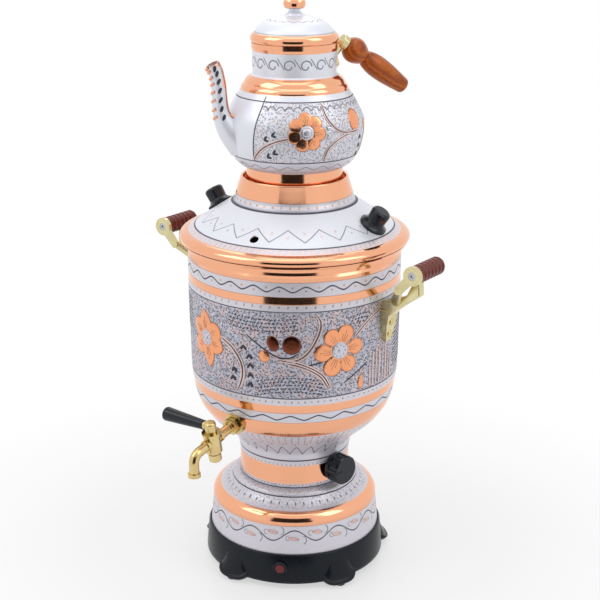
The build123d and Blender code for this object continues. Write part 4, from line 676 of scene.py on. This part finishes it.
def raisedTin():
    s = Shader("raisedTin")
    edge = s.node("Attribute", {"attribute_name": "edge"}, output=2)
    grain = s.noise(s.place(), 800.0)
    colour = s.mix((1 - edge) * 0.95, (0.66, 0.65, 0.72), (0.07, 0.065, 0.085))
    return s.surface(baseColor=colour, metallic=0.8, roughness=0.25 + grain * 0.15,
                     normal=s.bump(grain, 0.25, 0.0003))


def blackMoulding(name, rough, shine):
    s = Shader(name)
    spot = s.place()
    cloud = s.noise(spot, 38.0, detail=4.0)
    fine = s.noise(spot, 900.0, detail=2.0)
    dust = s.noise(spot, 260.0, detail=5.0, roughness=0.7)
    shade = s.mix((dust - 0.5) * 1.2, tone["black"], tone["dustyBlack"])
    return s.surface(baseColor=shade, roughness=rough + cloud * 0.12 + fine * 0.05, specularIORLevel=shine,
                     normal=s.bump(cloud * 0.5 + fine * 0.08, 0.18, 0.0006))


def redLens():
    s = Shader("redLens")
    ribs = (s.axes(s.place())[2] * 5200.0).cos()
    return s.surface(baseColor=(0.13, 0.002, 0.004), roughness=0.22, transmissionWeight=0.1,
                     coatWeight=0.1, emissionColor=(0.5, 0.0, 0.01), emissionStrength=0.03,
                     normal=s.bump(ribs, 0.2, 0.0003))


def wood(name, pale, dark, deep, along, scale):
    # along is how the grain is turned, in degrees
    s = Shader(name)
    spot = s.moved(s.place(), rotation=[math.radians(turn) for turn in along])
    x, y, _ = s.axes(spot)
    wobble = s.noise(spot, 60.0)
    streaks = s.noise(s.moved(spot, scale=(1, 1, 0.07)), scale, detail=6.0, roughness=0.65)
    rings = ((x + y * 0.6 + wobble * 0.004) * 1400.0).cos() * 0.5 + 0.5
    pores = s.noise(s.moved(spot, scale=(1, 1, 0.05)), 2600.0, detail=2.0)
    colour = s.mix(rings * 0.6 + streaks * 0.3, pale, dark)
    colour = s.mix((streaks > 0.62) * 0.5, colour, deep)
    colour = s.mix((pores > 0.63) * 0.6, colour, deep)
    return s.surface(baseColor=colour, roughness=0.22 + streaks * 0.15, specularIORLevel=0.25,
                     coatWeight=0.2, coatRoughness=0.06,
                     normal=s.bump(streaks * 0.6 + pores * 0.3, 0.25, 0.0003))


def plainFinish(name, first, second, scale, detail, rough, deep, metallic=0.0, vary=0.2):
    # one grain that moves colour, roughness and height together
    s = Shader(name)
    grain = s.noise(s.place(), scale, detail)
    return s.surface(baseColor=s.mix(grain, first, second), metallic=metallic,
                     roughness=rough + grain * vary, normal=s.bump(grain, deep, 0.0003))


finishes = {
    "copper": Banded("plainCopper", {}).metal(),
    "brass": brassMetal(),
    "black_plastic": blackMoulding("blackMoulding", 0.20, 0.22),
    "black_rubber": plainFinish("rubber", (0.018, 0.018, 0.018), (0.035, 0.034, 0.033),
                                800.0, 3.0, 0.62, 0.3),
    "steel": plainFinish("platedSteel", (0.58, 0.58, 0.60), (0.42, 0.42, 0.43),
                         120.0, 4.0, 0.22, 0.15, metallic=1.0),
    "red_lens": redLens(),
    "pale_plastic": plainFinish("palePlastic", (0.72, 0.70, 0.64), (0.62, 0.60, 0.54),
                                90.0, 4.0, 0.42, 0.15, vary=0.15),
    "dark_wood": wood("redBrownWood", (0.21, 0.030, 0.014), (0.10, 0.014, 0.010), (0.03, 0.008, 0.006),
                      (90, 0, 0), 900.0),
    "pale_wood": wood("orangeWood", (0.58, 0.135, 0.006), (0.25, 0.036, 0.002), (0.05, 0.010, 0.002),
                      (55, 0, 58), 700.0),
}
raised = {
    "copper": raisedWork("raisedCopper", (0.90, 0.39, 0.20), (0.82, 0.32, 0.15)),
    "tin": raisedTin(),
    "stems": raisedWork("raisedStems", (0.82, 0.66, 0.64), (0.74, 0.55, 0.52), metallic=0.5),
    "buds": raisedWork("darkBuds", (0.17, 0.045, 0.025), (0.30, 0.10, 0.05)),
    "strokes": plainFinish("engravedStrokes", (0.018, 0.018, 0.032), (0.05, 0.048, 0.07),
                           900.0, 2.0, 0.42, 0.3),
}
ownFinish = {
    # nodes that don't wear the plain finish of their material slot
    "tank_shell": tankMetal(), "pedestal_shell": pedestalMetal(), "lid_shell": lidMetal(),
    "collar": Banded("collarMetal", collarBands).metal(), "teapot_body": potMetal(),
    "teapot_spout": spoutMetal(), "teapot_lid": potLidMetal(),
    "teapot_lid_knob": Banded("potKnobMetal", potKnobBands).metal(),
}
ownFinish["neck_shell"] = ownFinish["pedestal_shell"]
ownFinish.update(dict.fromkeys(
    ("thermostat_knob", "lid_knob_left", "lid_knob_right", "tap_lever_grip"),
    blackMoulding("knobBlack", 0.10, 0.35)))
ownFinish.update(dict.fromkeys(
    ("handle_bracket_left", "handle_bracket_right", "teapot_handle_socket"),
    brassMetal("paleBrass", "oliveBrass", "darkOlive")))

for part in frame["record"]["subparts"]:
    piece = nodes[part["node"]]
    finish = ownFinish.get(part["node"]) or finishes[part["material_slot"]]
    for slot in piece.material_slots:
        slot.material = finish
    if not piece.material_slots:
        piece.data.materials.append(finish)


# Raised work on the tank and the pot

reliefWork = {
    # plates: how the cells crowd to the edge, how square the shoulder is, where the rim sinks,
    # how domed the top is, and how steeply the tone falls at the edge
    "crowding": 1.7, "shoulder": 12, "rim": 0.995, "dome": 0.1, "edgeFall": 6,
    # ribs: step along the curve, offsets and heights across one line, steepness of the taper, sink
    "step": 1.3, "line": ((-1, 0.0), (-0.62, 0.12), (-0.44, 0.92), (0, 1.0), (0.44, 0.92), (0.62, 0.12)),
    "taperRun": 6, "sink": 0.25,
    # strokes: sides, narrowing to the top, rise and foot
    "strokeSides": 6, "strokeTop": 0.88, "strokeRise": 0.22, "strokeFoot": -0.2,
    # veins: lean and share of the length of the three lines, half width and rise
    "veins": ((-9, 0.7), (0, 1.0), (9, 0.7)), "veinHalf": 0.3, "veinRise": 0.68,
    # chevrons: lean of the two strokes, and their shift and width as shares of their length
    "chevronLean": 150, "chevronShift": 0.42, "chevronWidth": 0.44,
}


class Bed:
    # the outer face of a shell, unrolled for raised work; start and sign place a pattern on it
    def __init__(self, name, radius):
        mesh = nodes[name].data
        self.tree = BVHTree.FromPolygons([v.co for v in mesh.vertices],
                                         [tuple(p.vertices) for p in mesh.polygons])
        self.radius = radius
        self.start, self.sign = 0.0, 1

    def lay(self, across, up, rise):
        # across and up in mm on the unrolled shell, rise in mm above it
        way = outward(math.degrees(across / self.radius))
        start = way * 0.4 + Vector((0, 0, up * mm))
        hit, normal, _, _ = self.tree.ray_cast(start, -way)
        if normal.dot(way) < 0:
            normal = -normal
        return hit + normal * rise * mm

    def across(self, angle):
        return math.radians(self.start + self.sign * angle) * self.radius

    def facing(self, turn):
        return turn if self.sign > 0 else 180 - turn


class Relief:
    # one piece of raised work, made of plates, ribs and strokes on a bed
    work = reliefWork

    def __init__(self, name, bed, finish, body):
        self.name, self.bed, self.finish, self.body = name, bed, finish, body
        self.bm = bmesh.new()
        self.tone = self.bm.verts.layers.float.new("edge")

    def plate(self, angle, up, shape, turn=0.0, rise=0.5, cells=8, sink=0.25):
        # a domed plate; shape turns a point of the unit disc into mm
        grid = bmesh.ops.create_grid(self.bm, x_segments=cells, y_segments=cells, size=1.0)
        turn = math.radians(self.bed.facing(turn))
        c, s = math.cos(turn), math.sin(turn)
        base = self.bed.across(angle)
        for vert in grid["verts"]:
            x, y = vert.co.x, vert.co.y
            x, y = x * math.sqrt(1 - y * y / 2), y * math.sqrt(1 - x * x / 2)
            far = min(1.0, math.hypot(x, y))
            if far > 0:
                pushed = 1 - (1 - far) ** self.work["crowding"]
                x, y = x * pushed / far, y * pushed / far
                far = pushed
            px, py = shape(x, y)
            height = rise * (1 - far ** self.work["shoulder"]) + self.work["dome"] * rise * (1 - far * far)
            height -= sink * (far > self.work["rim"])
            vert[self.tone] = min(1.0, max(0.0, (1 - far) * self.work["edgeFall"]))
            vert.co = self.bed.lay(base + px * c - py * s, up + px * s + py * c, height)

    def rib(self, points, half, rise=0.5, lines=1, taper=(0.3, 0.3)):
        # a rib along a curve of angles and heights, of one, two or three rounded lines
        self.run([(self.bed.across(angle), up) for angle, up in points], half, rise, lines, taper)

    def run(self, points, half, rise, lines, taper):
        path = smoothPath(points, self.work["step"])
        section = []
        for line in range(lines):
            middle = (line - (lines - 1) / 2) * 2 / lines
            section += [(middle + side / lines, height) for side, height in self.work["line"]]
        section.append((1.0, 0.0))
        last, edge = len(path) - 1, len(section) - 1
        grid = bmesh.ops.create_grid(self.bm, x_segments=last, y_segments=edge, size=1.0)
        for vert in grid["verts"]:
            i = round((vert.co.x + 1) / 2 * last)
            j = round((vert.co.y + 1) / 2 * edge)
            before, after = path[max(0, i - 1)], path[min(last, i + 1)]
            length = math.hypot(after[0] - before[0], after[1] - before[1]) or 1.0
            nx, ny = -(after[1] - before[1]) / length, (after[0] - before[0]) / length
            fromStart, toEnd = (share * self.work["taperRun"] for share in (i / last, 1 - i / last))
            width = half * min(1.0, taper[0] + fromStart, taper[1] + toEnd)
            offset, height = section[j]
            vert[self.tone] = max(0.0, height * 1.4 - 0.4)
            lift = height * rise * min(1.0, width / half + 0.2) - self.work["sink"] * (j in (0, edge))
            vert.co = self.bed.lay(path[i][0] + nx * offset * width, path[i][1] + ny * offset * width, lift)

    def vein(self, angle, up, first, last, turn, rise, lean=0.0):
        # a fine line from near the heart of a flower along a petal
        base, way = self.bed.across(angle), math.radians(self.bed.facing(turn) + lean)
        ends = [(base + math.cos(way) * far, up + math.sin(way) * far) for far in (first, last)]
        self.run(ends, self.work["veinHalf"], rise, 1, (1, 0.2))

    def veins(self, angle, up, first, last, turn):
        for lean, share in self.work["veins"]:
            self.vein(angle, up, first, first + (last - first) * share, turn, self.work["veinRise"], lean)

    def stroke(self, across, up, length, width, turn):
        # a short engraved stroke
        made = bmesh.ops.create_cone(self.bm, segments=self.work["strokeSides"], radius1=1.0,
                                     radius2=self.work["strokeTop"], depth=1.0, cap_ends=True)
        c, s = math.cos(math.radians(turn)), math.sin(math.radians(turn))
        for vert in made["verts"]:
            px, py = vert.co.x * length / 2, vert.co.y * width / 2
            height = self.work["strokeRise"] if vert.co.z > 0 else self.work["strokeFoot"]
            vert[self.tone] = 0.0
            vert.co = self.bed.lay(across + px * c - py * s, up + px * s + py * c, height)

    def chevron(self, angle, up, size, turn=90):
        turn, shift = self.bed.facing(turn), size * self.work["chevronShift"]
        for side in (-1, 1):
            lean = math.radians(turn - side * self.work["chevronLean"])
            self.stroke(self.bed.across(angle) + math.cos(lean) * shift, up + math.sin(lean) * shift,
                        size, size * self.work["chevronWidth"],
                        turn + 180 - side * self.work["chevronLean"])

    def done(self):
        bmesh.ops.recalc_face_normals(self.bm, faces=self.bm.faces)
        made = newObject(self.name, self.bm, raised[self.finish])
        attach(made, self.body)


def smoothPath(points, step):
    # the points joined by a smooth curve, about a step apart
    path = []
    for index in range(len(points) - 1):
        p0 = points[max(0, index - 1)]
        p1, p2 = points[index], points[index + 1]
        p3 = points[min(len(points) - 1, index + 2)]
        count = max(1, round(math.dist(p1, p2) / step))
        for k in range(count):
            t = k / count
            path.append(tuple(
                0.5 * (2 * b + (c - a) * t + (2 * a - 5 * b + 4 * c - d) * t * t
                       + (3 * b - a - 3 * c + d) * t * t * t)
                for a, b, c, d in zip(p0, p1, p2, p3)))
    path.append(tuple(points[-1]))
    return path


def roundPetal(reach, radius):
    return lambda x, y: (reach + x * radius, y * radius)


def pointedPetal(inner, tip, half, point=1.0, full=1.25):
    def shape(x, y):
        along = (x + 1) / 2
        narrow = (1 - along) ** (0.5 * point) * full if point else 1.0
        return inner + (tip - inner) * along, y * half * min(1.0, narrow)
    return shape


def disc(across, high=None, middle=(0.0, 0.0)):
    return lambda x, y: (middle[0] + x * across, middle[1] + y * (high or across))


def roundFlower(copper, strokes, flower):
    # round petals, each on a narrower neck
    for turn, reach, radius in flower["petals"]:
        spot = flower["angle"], flower["up"]
        petalCells, neckCells = flower["cells"]
        copper.plate(*spot, roundPetal(reach, radius), turn, cells=petalCells)
        strokes.veins(*spot, flower["veinFrom"], reach + radius * flower["veinShare"], turn)
        copper.plate(*spot, pointedPetal(flower["neckFrom"], reach, radius * flower["neck"], 0.0), turn,
                     cells=neckCells, rise=0.42)


tankRelief = {
    "radius": 93.0,
    "starts": (0.0, 180.0),
    "leftFlower": {
        # turn, tip, half width and pointedness of the petals
        "angle": -17.3, "up": 223.7, "centre": 7.6, "heart": 4.0, "veinFrom": 8.5, "veinShare": 0.75,
        "petals": (
            (98, 25.5, 9.4, 0.8), (34, 21.5, 9.2, 0.0), (-18, 22.5, 9.0, 0.5), (-80, 27.0, 8.4, 0.8),
            (220, 22.5, 8.8, 0.3), (150, 23.5, 9.2, 0.4))},
    "rightFlower": {
        # turn, reach and radius of the petals
        "angle": 60.0, "up": 222.3, "centre": 8.0, "cells": (12, 8), "veinFrom": 8.5, "veinShare": 0.45,
        "neckFrom": 3.0, "neck": 0.62, "petals": (
            (6, 15.2, 7.6), (71, 15.2, 8.2), (121, 14.4, 7.7), (183, 15.0, 8.1), (245, 15.6, 8.6),
            (302, 15.0, 7.8))},
    # the centres of the flowers: a disc, a ring of small knobs and a larger one, in shares of the radius
    "centre": {"knobs": 9, "ring": 0.62, "knob": 0.17, "middle": 0.3, "rises": (0.9, 1.5, 1.7)},
    # angle, height, half width, half height and turn
    "buds": ((24.9, 230.6, 5.1, 7.2, 20), (34.6, 229.6, 8.2, 8.4, 0)),
    "stems": (
        # points of angle and height, half width, lines
        (((-6.4, 229.5), (1.9, 222.3), (7.1, 210.9), (8.0, 199.9), (6.2, 189.5), (4.4, 184.5)), 2.9, 2),
        (((46.7, 256.4), (49.3, 249.5), (48.8, 240.6), (45.3, 228.1), (40.6, 219.3), (34.4, 215.3),
          (27.4, 216.4)), 2.6, 2),
        (((31.2, 214.4), (37.6, 212.4), (44.6, 207.4), (50.4, 200.5), (54.4, 189.4)), 3.2, 3),
        (((67.9, 230.9), (74.9, 240.9), (82.8, 248.0), (88.9, 252.0)), 2.4, 2),
    ),
    "thinStems": (
        ((10.2, 236.6), (17.4, 228.3), (24.7, 220.9), (31.5, 216.6)),
        ((33.5, 211.6), (42.0, 211.0), (52.0, 214.6)),
        ((62.6, 192.3), (69.6, 199.0), (77.6, 206.6)),
        ((23.7, 221.2), (28.7, 218.4), (33.6, 218.4), (37.8, 221.8)),
    ),
    "chevronSize": 6.2,
    "chevrons": ((8.7, 226.4), (12.0, 219.0), (12.6, 211.2), (12.6, 202.4), (12.4, 194.2), (3.0, 205.0),
                 (2.0, 197.3)),
    # angle, height, half length, half width, turn and pointedness
    "leaves": ((20.3, 218.9, 5.2, 5.6, 10, 0.3), (73.2, 190.6, 7.4, 3.3, 90, 0.9)),
    # angle and top of upright ribs, of two half widths by turns
    "columnFoot": 183.5, "columnHalf": (1.2, 1.7),
    "columns": ((79.6, 205), (82.0, 213), (84.6, 219), (87.4, 215), (90.4, 218), (93.4, 219), (96.2, 212),
                (99.0, 205)),
    # from and to angle, height at the middle, rows, gap of rows, bow
    "dashRows": ((16.5, 52.0, 196.0, 5, -3.1, 4.2), (0.5, 38.0, 253.0, 4, -3.3, -2.0),
                 (-50.0, -34.0, 250.0, 9, -3.4, 1.0), (66.0, 80.0, 250.0, 3, -3.4, 1.5),
                 (103.0, 127.0, 250.0, 17, -3.7, 1.0)),
    "dashGap": 3.2, "dash": (2.5, 1.25), "dashLean": 14, "dashBand": (183.5, 256.5),
}


def flowerCentre(tin, flower):
    angle, up, radius, centre = flower["angle"], flower["up"], flower["centre"], tankRelief["centre"]
    low, middle, high = centre["rises"]
    tin.plate(angle, up, disc(radius), rise=low, cells=10)
    for k in range(centre["knobs"]):
        turn, ring = math.radians(k * 360 / centre["knobs"]), radius * centre["ring"]
        spot = ring * math.cos(turn), ring * math.sin(turn)
        tin.plate(angle, up, disc(radius * centre["knob"], middle=spot), rise=middle, cells=3, sink=-0.6)
    tin.plate(angle, up, disc(radius * centre["middle"]), rise=high, cells=4, sink=-0.6)


def dashes(strokes, first, last, middle, rows, gap, bow):
    # rows of short strokes that follow a bow
    width = math.radians(last - first) * strokes.bed.radius
    low, high = tankRelief["dashBand"]
    for row in range(rows):
        count = round(width / tankRelief["dashGap"])
        for k in range(count):
            share = (k + 0.5 * (row % 2)) / count
            side = 2 * share - 1
            up = middle + row * gap + bow * (1 - side ** 2)
            if low < up < high:
                slope = math.degrees(math.atan2(-4 * bow * side, width))
                strokes.stroke(strokes.bed.across(first + (last - first) * share), up,
                               *tankRelief["dash"], slope + tankRelief["dashLean"])


def makeTankRelief():
    work = tankRelief
    bed = Bed("tank_shell", work["radius"])
    copper = Relief("tankCopperWork", bed, "copper", "samovar")
    tin = Relief("tankFlowerCentres", bed, "tin", "samovar")
    stems = Relief("tankStems", bed, "stems", "samovar")
    buds = Relief("tankBuds", bed, "buds", "samovar")
    strokes = Relief("tankStrokes", bed, "strokes", "samovar")
    for bed.start in work["starts"]:
        flower = work["leftFlower"]
        for turn, tip, half, point in flower["petals"]:
            spot = flower["angle"], flower["up"]
            copper.plate(*spot, pointedPetal(flower["heart"], tip, half, point), turn, cells=12)
            strokes.veins(*spot, flower["veinFrom"], tip * flower["veinShare"], turn)
        flowerCentre(tin, flower)
        roundFlower(copper, strokes, work["rightFlower"])
        flowerCentre(tin, work["rightFlower"])
        for angle, up, across, high, turn in work["buds"]:
            buds.plate(angle, up, disc(across, high), turn, cells=12, rise=0.7)
        for points, half, lines in work["stems"]:
            stems.rib(points, half, lines=lines)
        for points in work["thinStems"]:
            strokes.rib(points, 1.0, rise=0.25)
        for angle, up, across, high, turn, point in work["leaves"]:
            copper.plate(angle, up, pointedPetal(-across, across, high, point), turn)
        for angle, up in work["chevrons"]:
            strokes.chevron(angle, up, work["chevronSize"])
        for k, (angle, top) in enumerate(work["columns"]):
            stems.rib([(angle, work["columnFoot"]), (angle, top)], work["columnHalf"][k % 2], taper=(1, 0.3))
        for rows in work["dashRows"]:
            dashes(strokes, *rows)
    for piece in (copper, tin, stems, buds, strokes):
        piece.done()


potRelief = {
    "radius": 58.0,
    # start and direction of the panel, and of its mirror image on the other side of the spout
    "sides": ((0.0, 1), (-64.0, -1)),
    "flower": {
        "angle": 45.9, "up": 399.6, "cells": (10, 6), "veinFrom": 6.0, "veinShare": 3.2 / 6.0,
        "neckFrom": 2.0, "neck": 0.6, "petals": [(96.0 + k * 360 / 7, 10.3, 6.0) for k in range(7)]},
    # radius, rise, cells and sink of the two steps of the flower's boss
    "boss": ((5.6 * 1.12, 0.8, 10, 0.25), (5.6 * 0.74, 2.0, 8, -0.5)),
    "stems": (
        (((35.5, 395.2), (26.7, 393.6), (16.7, 390.0), (7.6, 384.4), (-1.6, 374.6)), 2.1, 2),
        (((61.6, 421.0), (64.2, 410.0), (71.2, 401.4), (81.6, 397.2), (99.0, 396.6)), 1.9, 2),
        (((86.6, 396.2), (74.4, 392.4), (65.3, 386.4), (62.2, 380.0), (62.0, 374.6)), 1.9, 2),
        (((112.0, 375.0), (116.0, 388.0), (126.0, 400.0), (134.0, 404.0)), 1.9, 2),
    ),
    "leaves": ((94.7, 406.0, 9.4, 8.2, 80, 0.1), (118.0, 398.0, 7.0, 5.2, 120, 0.7)),
    "silverLeaf": {"angle": 69.8, "up": 398.6, "long": 9.6, "half": 2.7, "turns": (180, 214, 146)},
    "chevronSize": 5.2,
    "chevrons": ((17.4, 396.8, 200), (10.9, 393.0, 200), (18.0, 381.8, 205), (12.4, 378.4, 205),
                 (104.0, 392.0, 90), (104.5, 384.6, 90), (104.0, 377.6, 90)),
}


def makePotRelief():
    work = potRelief
    bed = Bed("teapot_body", work["radius"])
    copper = Relief("potCopperWork", bed, "copper", "teapot")
    tin = Relief("potBosses", bed, "tin", "teapot")
    stems = Relief("potStems", bed, "stems", "teapot")
    strokes = Relief("potStrokes", bed, "strokes", "teapot")
    for bed.start, bed.sign in work["sides"]:
        flower = work["flower"]
        roundFlower(copper, strokes, flower)
        for radius, rise, cells, sink in work["boss"]:
            tin.plate(flower["angle"], flower["up"], disc(radius), rise=rise, cells=cells, sink=sink)
        for points, half, lines in work["stems"]:
            stems.rib(points, half, lines=lines, rise=0.45)
        for angle, up, across, high, turn, point in work["leaves"]:
            copper.plate(angle, up, pointedPetal(-across, across, high, point), turn)
        leaf = work["silverLeaf"]
        for turn in leaf["turns"]:
            tin.plate(leaf["angle"], leaf["up"], pointedPetal(-1.0, leaf["long"], leaf["half"], 0.9), turn,
                      cells=10, rise=0.75)
            strokes.vein(leaf["angle"], leaf["up"], 0.5, leaf["long"] - 1.5, turn, 0.9)
        for angle, up, turn in work["chevrons"]:
            strokes.chevron(angle, up, work["chevronSize"], turn)
    for piece in (copper, tin, stems, strokes):
        piece.done()


baseShape = {
    # radius and height of the wall, the deck and the inside
    "profile": ((82.0, 0.5), (81.9, 3.0), (79.9, 25.2), (79.2, 26.3), (78.6, 27.4), (77.8, 27.4),
                (77.7, 26.5), (34.0, 26.5), (34.0, 23.6), (76.6, 23.6), (79.0, 1.0), (79.4, 0.5)),
    "wallTop": (79.9, 25.2), "wallLean": 0.08, "steps": 120,
    "feet": 5, "firstFoot": -6.5, "cells": (28, 30),
    "footTop": 24.0, "footFoot": -4.6, "footEdge": 1.5, "toeRound": 4.6,
    "halfTop": 8.5, "halfFoot": 17.5, "proud": 8.6, "inner": 74.0, "sunk": 0.6,
    # shares of a foot's rows for its slope and for the rounded toe, and how soon the toe turns
    "slopeRows": 0.66, "toeRows": 0.34, "toeTurn": 1.7,
    # powers that shape the foot: how it widens, swells, rounds at its sides and arches below
    "widen": 1.2, "swell": 1.25, "sides": (3, 0.7), "arch": 4,
}


def makeBase():
    shape = baseShape
    bm = bmesh.new()
    verts = [bm.verts.new((radius * mm, 0, up * mm)) for radius, up in shape["profile"]]
    edges = [bm.edges.new((verts[k], verts[(k + 1) % len(verts)])) for k in range(len(verts))]
    bmesh.ops.spin(bm, geom=verts + edges, axis=(0, 0, 1), cent=(0, 0, 0), steps=shape["steps"],
                   angle=math.radians(360), use_merge=True)
    quarter = math.pi / 2
    wallRadius, wallHeight = shape["wallTop"]
    square, full = shape["sides"]
    wide, high = shape["cells"]
    for k in range(shape["feet"]):
        angle = shape["firstFoot"] + k * 360 / shape["feet"]
        grid = bmesh.ops.create_grid(bm, x_segments=wide, y_segments=high, size=1.0)
        for vert in grid["verts"]:
            across, rise = vert.co.x, (vert.co.y + 1) / 2
            fall = min(1.0, (1 - rise) / shape["slopeRows"])
            under = max(0.0, shape["toeRows"] - rise) / shape["toeRows"]
            low = shape["footFoot"] + (shape["footEdge"] - shape["footFoot"]) * abs(across) ** shape["arch"]
            toe = low + shape["toeRound"]
            up = shape["footTop"] + (toe - shape["footTop"]) * math.sin(fall * quarter)
            up -= shape["toeRound"] * math.sin(min(1.0, under * shape["toeTurn"]) * quarter)
            wall = wallRadius + (wallHeight - up) * shape["wallLean"]
            half = shape["halfTop"] + (shape["halfFoot"] - shape["halfTop"]) * fall ** shape["widen"]
            swell = shape["proud"] * fall ** shape["swell"] * (1 - abs(across) ** square) ** full
            reach = wall - shape["sunk"] + swell
            reach += (shape["inner"] - reach) * math.sin(under * quarter) ** 2
            place = outward(angle + math.degrees(across * half / wall)) * reach * mm
            vert.co = (place.x, place.y, up * mm)
    bmesh.ops.remove_doubles(bm, verts=bm.verts, dist=0.00001)
    bmesh.ops.recalc_face_normals(bm, faces=bm.faces)
    piece = newObject("mouldedBase", bm, finishes["black_plastic"])
    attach(piece, "samovar")
    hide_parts("base_moulding")


makeBase()
print("base with its rounded feet")


spoutWork = {
    "angle": -32.0,
    # reach, height and radius of the stations; from and to below count stations
    "course": ((46.5, 384.5, 15.0), (54.0, 391.8, 12.8), (61.3, 400.5, 9.6), (65.8, 411.0, 6.9),
               (66.9, 422.0, 6.3), (67.6, 434.0, 6.1), (69.8, 444.5, 6.1), (73.0, 450.6, 6.3)),
    "ribs": 8, "ribFrom": 2.7, "ribTo": 6.8, "ribRadius": 1.15, "ribArc": 80, "ribSlant": 24,
    "ribSides": 8, "ribSteps": 14,
    # half width, half height and half thickness of a slot
    "slots": 7, "slotFrom": 2.7, "slotTo": 6.6, "slotSide": 80, "slotSlant": -32,
    "slotSize": (1.4, 2.875, 0.5), "slotCells": (12, 8),
    "seamSide": 138, "seamRadius": 0.85, "seamFrom": 1.6, "seamTo": 6.95, "seamCells": (36, 8),
}


def spoutAt(share):
    # centre, direction, outer side and radius of the spout at a share of its stations
    course = spoutWork["course"]
    index = min(int(share), len(course) - 2)
    part = share - index
    (x0, z0, r0), (x1, z1, r1) = course[index], course[index + 1]
    way = outward(spoutWork["angle"])
    x, z, r = x0 + (x1 - x0) * part, z0 + (z1 - z0) * part, r0 + (r1 - r0) * part
    low = course[max(0, index - (part < 0.5))]
    high = course[min(len(course) - 1, index + 1 + (part > 0.5))]
    along = (way * (high[0] - low[0]) + Vector((0, 0, high[1] - low[1]))).normalized()
    out = (way - along * way.dot(along)).normalized()
    return (way * x + Vector((0, 0, z))) * mm, along, out, r * mm


def turned(degrees, axis):
    return Matrix.Rotation(math.radians(degrees), 3, axis)


def columns(first, second, third):
    return Matrix((first, second, third)).transposed().to_4x4()


def spread(kind):
    # evenly spaced places on the spout
    first, last, count = spoutWork[kind + "From"], spoutWork[kind + "To"], spoutWork[kind + "s"]
    return [first + (last - first) * k / (count - 1) for k in range(count)]


def makeSpoutRibs():
    work = spoutWork
    bm = bmesh.new()
    tones = bm.verts.layers.float.new("edge")
    for share in spread("rib"):
        centre, along, out, radius = spoutAt(share)
        axis = turned(work["ribSlant"], out) @ along
        start = turned(-work["ribArc"] / 2, axis) @ out
        ring = bmesh.ops.create_circle(bm, cap_ends=False, segments=work["ribSides"],
                                       radius=work["ribRadius"] * mm)
        place = Matrix.Translation(centre + start * radius) @ columns(start, axis, start.cross(axis))
        bmesh.ops.transform(bm, matrix=place, verts=ring["verts"])
        edges = list({edge for vert in ring["verts"] for edge in vert.link_edges})
        bmesh.ops.spin(bm, geom=ring["verts"] + edges, axis=axis, cent=centre, steps=work["ribSteps"],
                       angle=math.radians(work["ribArc"]))
    for side in (-1, 1):
        long, around = work["seamCells"]
        seam = bmesh.ops.create_grid(bm, x_segments=long, y_segments=around, size=1.0)
        for vert in seam["verts"]:
            share = work["seamFrom"] + (work["seamTo"] - work["seamFrom"]) * (vert.co.x + 1) / 2
            centre, along, out, radius = spoutAt(share)
            normal = turned(side * work["seamSide"], along) @ out
            turn = math.pi * vert.co.y
            swing = normal * math.cos(turn) + along.cross(normal) * math.sin(turn)
            vert.co = centre + normal * radius + swing * work["seamRadius"] * mm
    for vert in bm.verts:
        vert[tones] = 1.0
    bmesh.ops.recalc_face_normals(bm, faces=bm.faces)
    return newObject("spoutRibs", bm, raised["copper"])


def makeSpoutSlots():
    work = spoutWork
    bm = bmesh.new()
    sides, rings = work["slotCells"]
    for share in spread("slot"):
        centre, along, out, radius = spoutAt(share)
        for side in (-1, 1):
            normal = turned(side * work["slotSide"], along) @ out
            long = turned(side * work["slotSlant"], normal) @ along
            ball = bmesh.ops.create_uvsphere(bm, u_segments=sides, v_segments=rings, radius=mm)
            place = (Matrix.Translation(centre + normal * radius) @ columns(long.cross(normal), long, normal)
                     @ Matrix.Diagonal((*work["slotSize"], 1)))
            bmesh.ops.transform(bm, matrix=place, verts=ball["verts"])
    return newObject("spoutSlots", bm, raised["strokes"])


for piece in (makeSpoutRibs(), makeSpoutSlots()):
    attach(piece, "teapot")
makeTankRelief()
makePotRelief()
print("raised work on tank and pot")
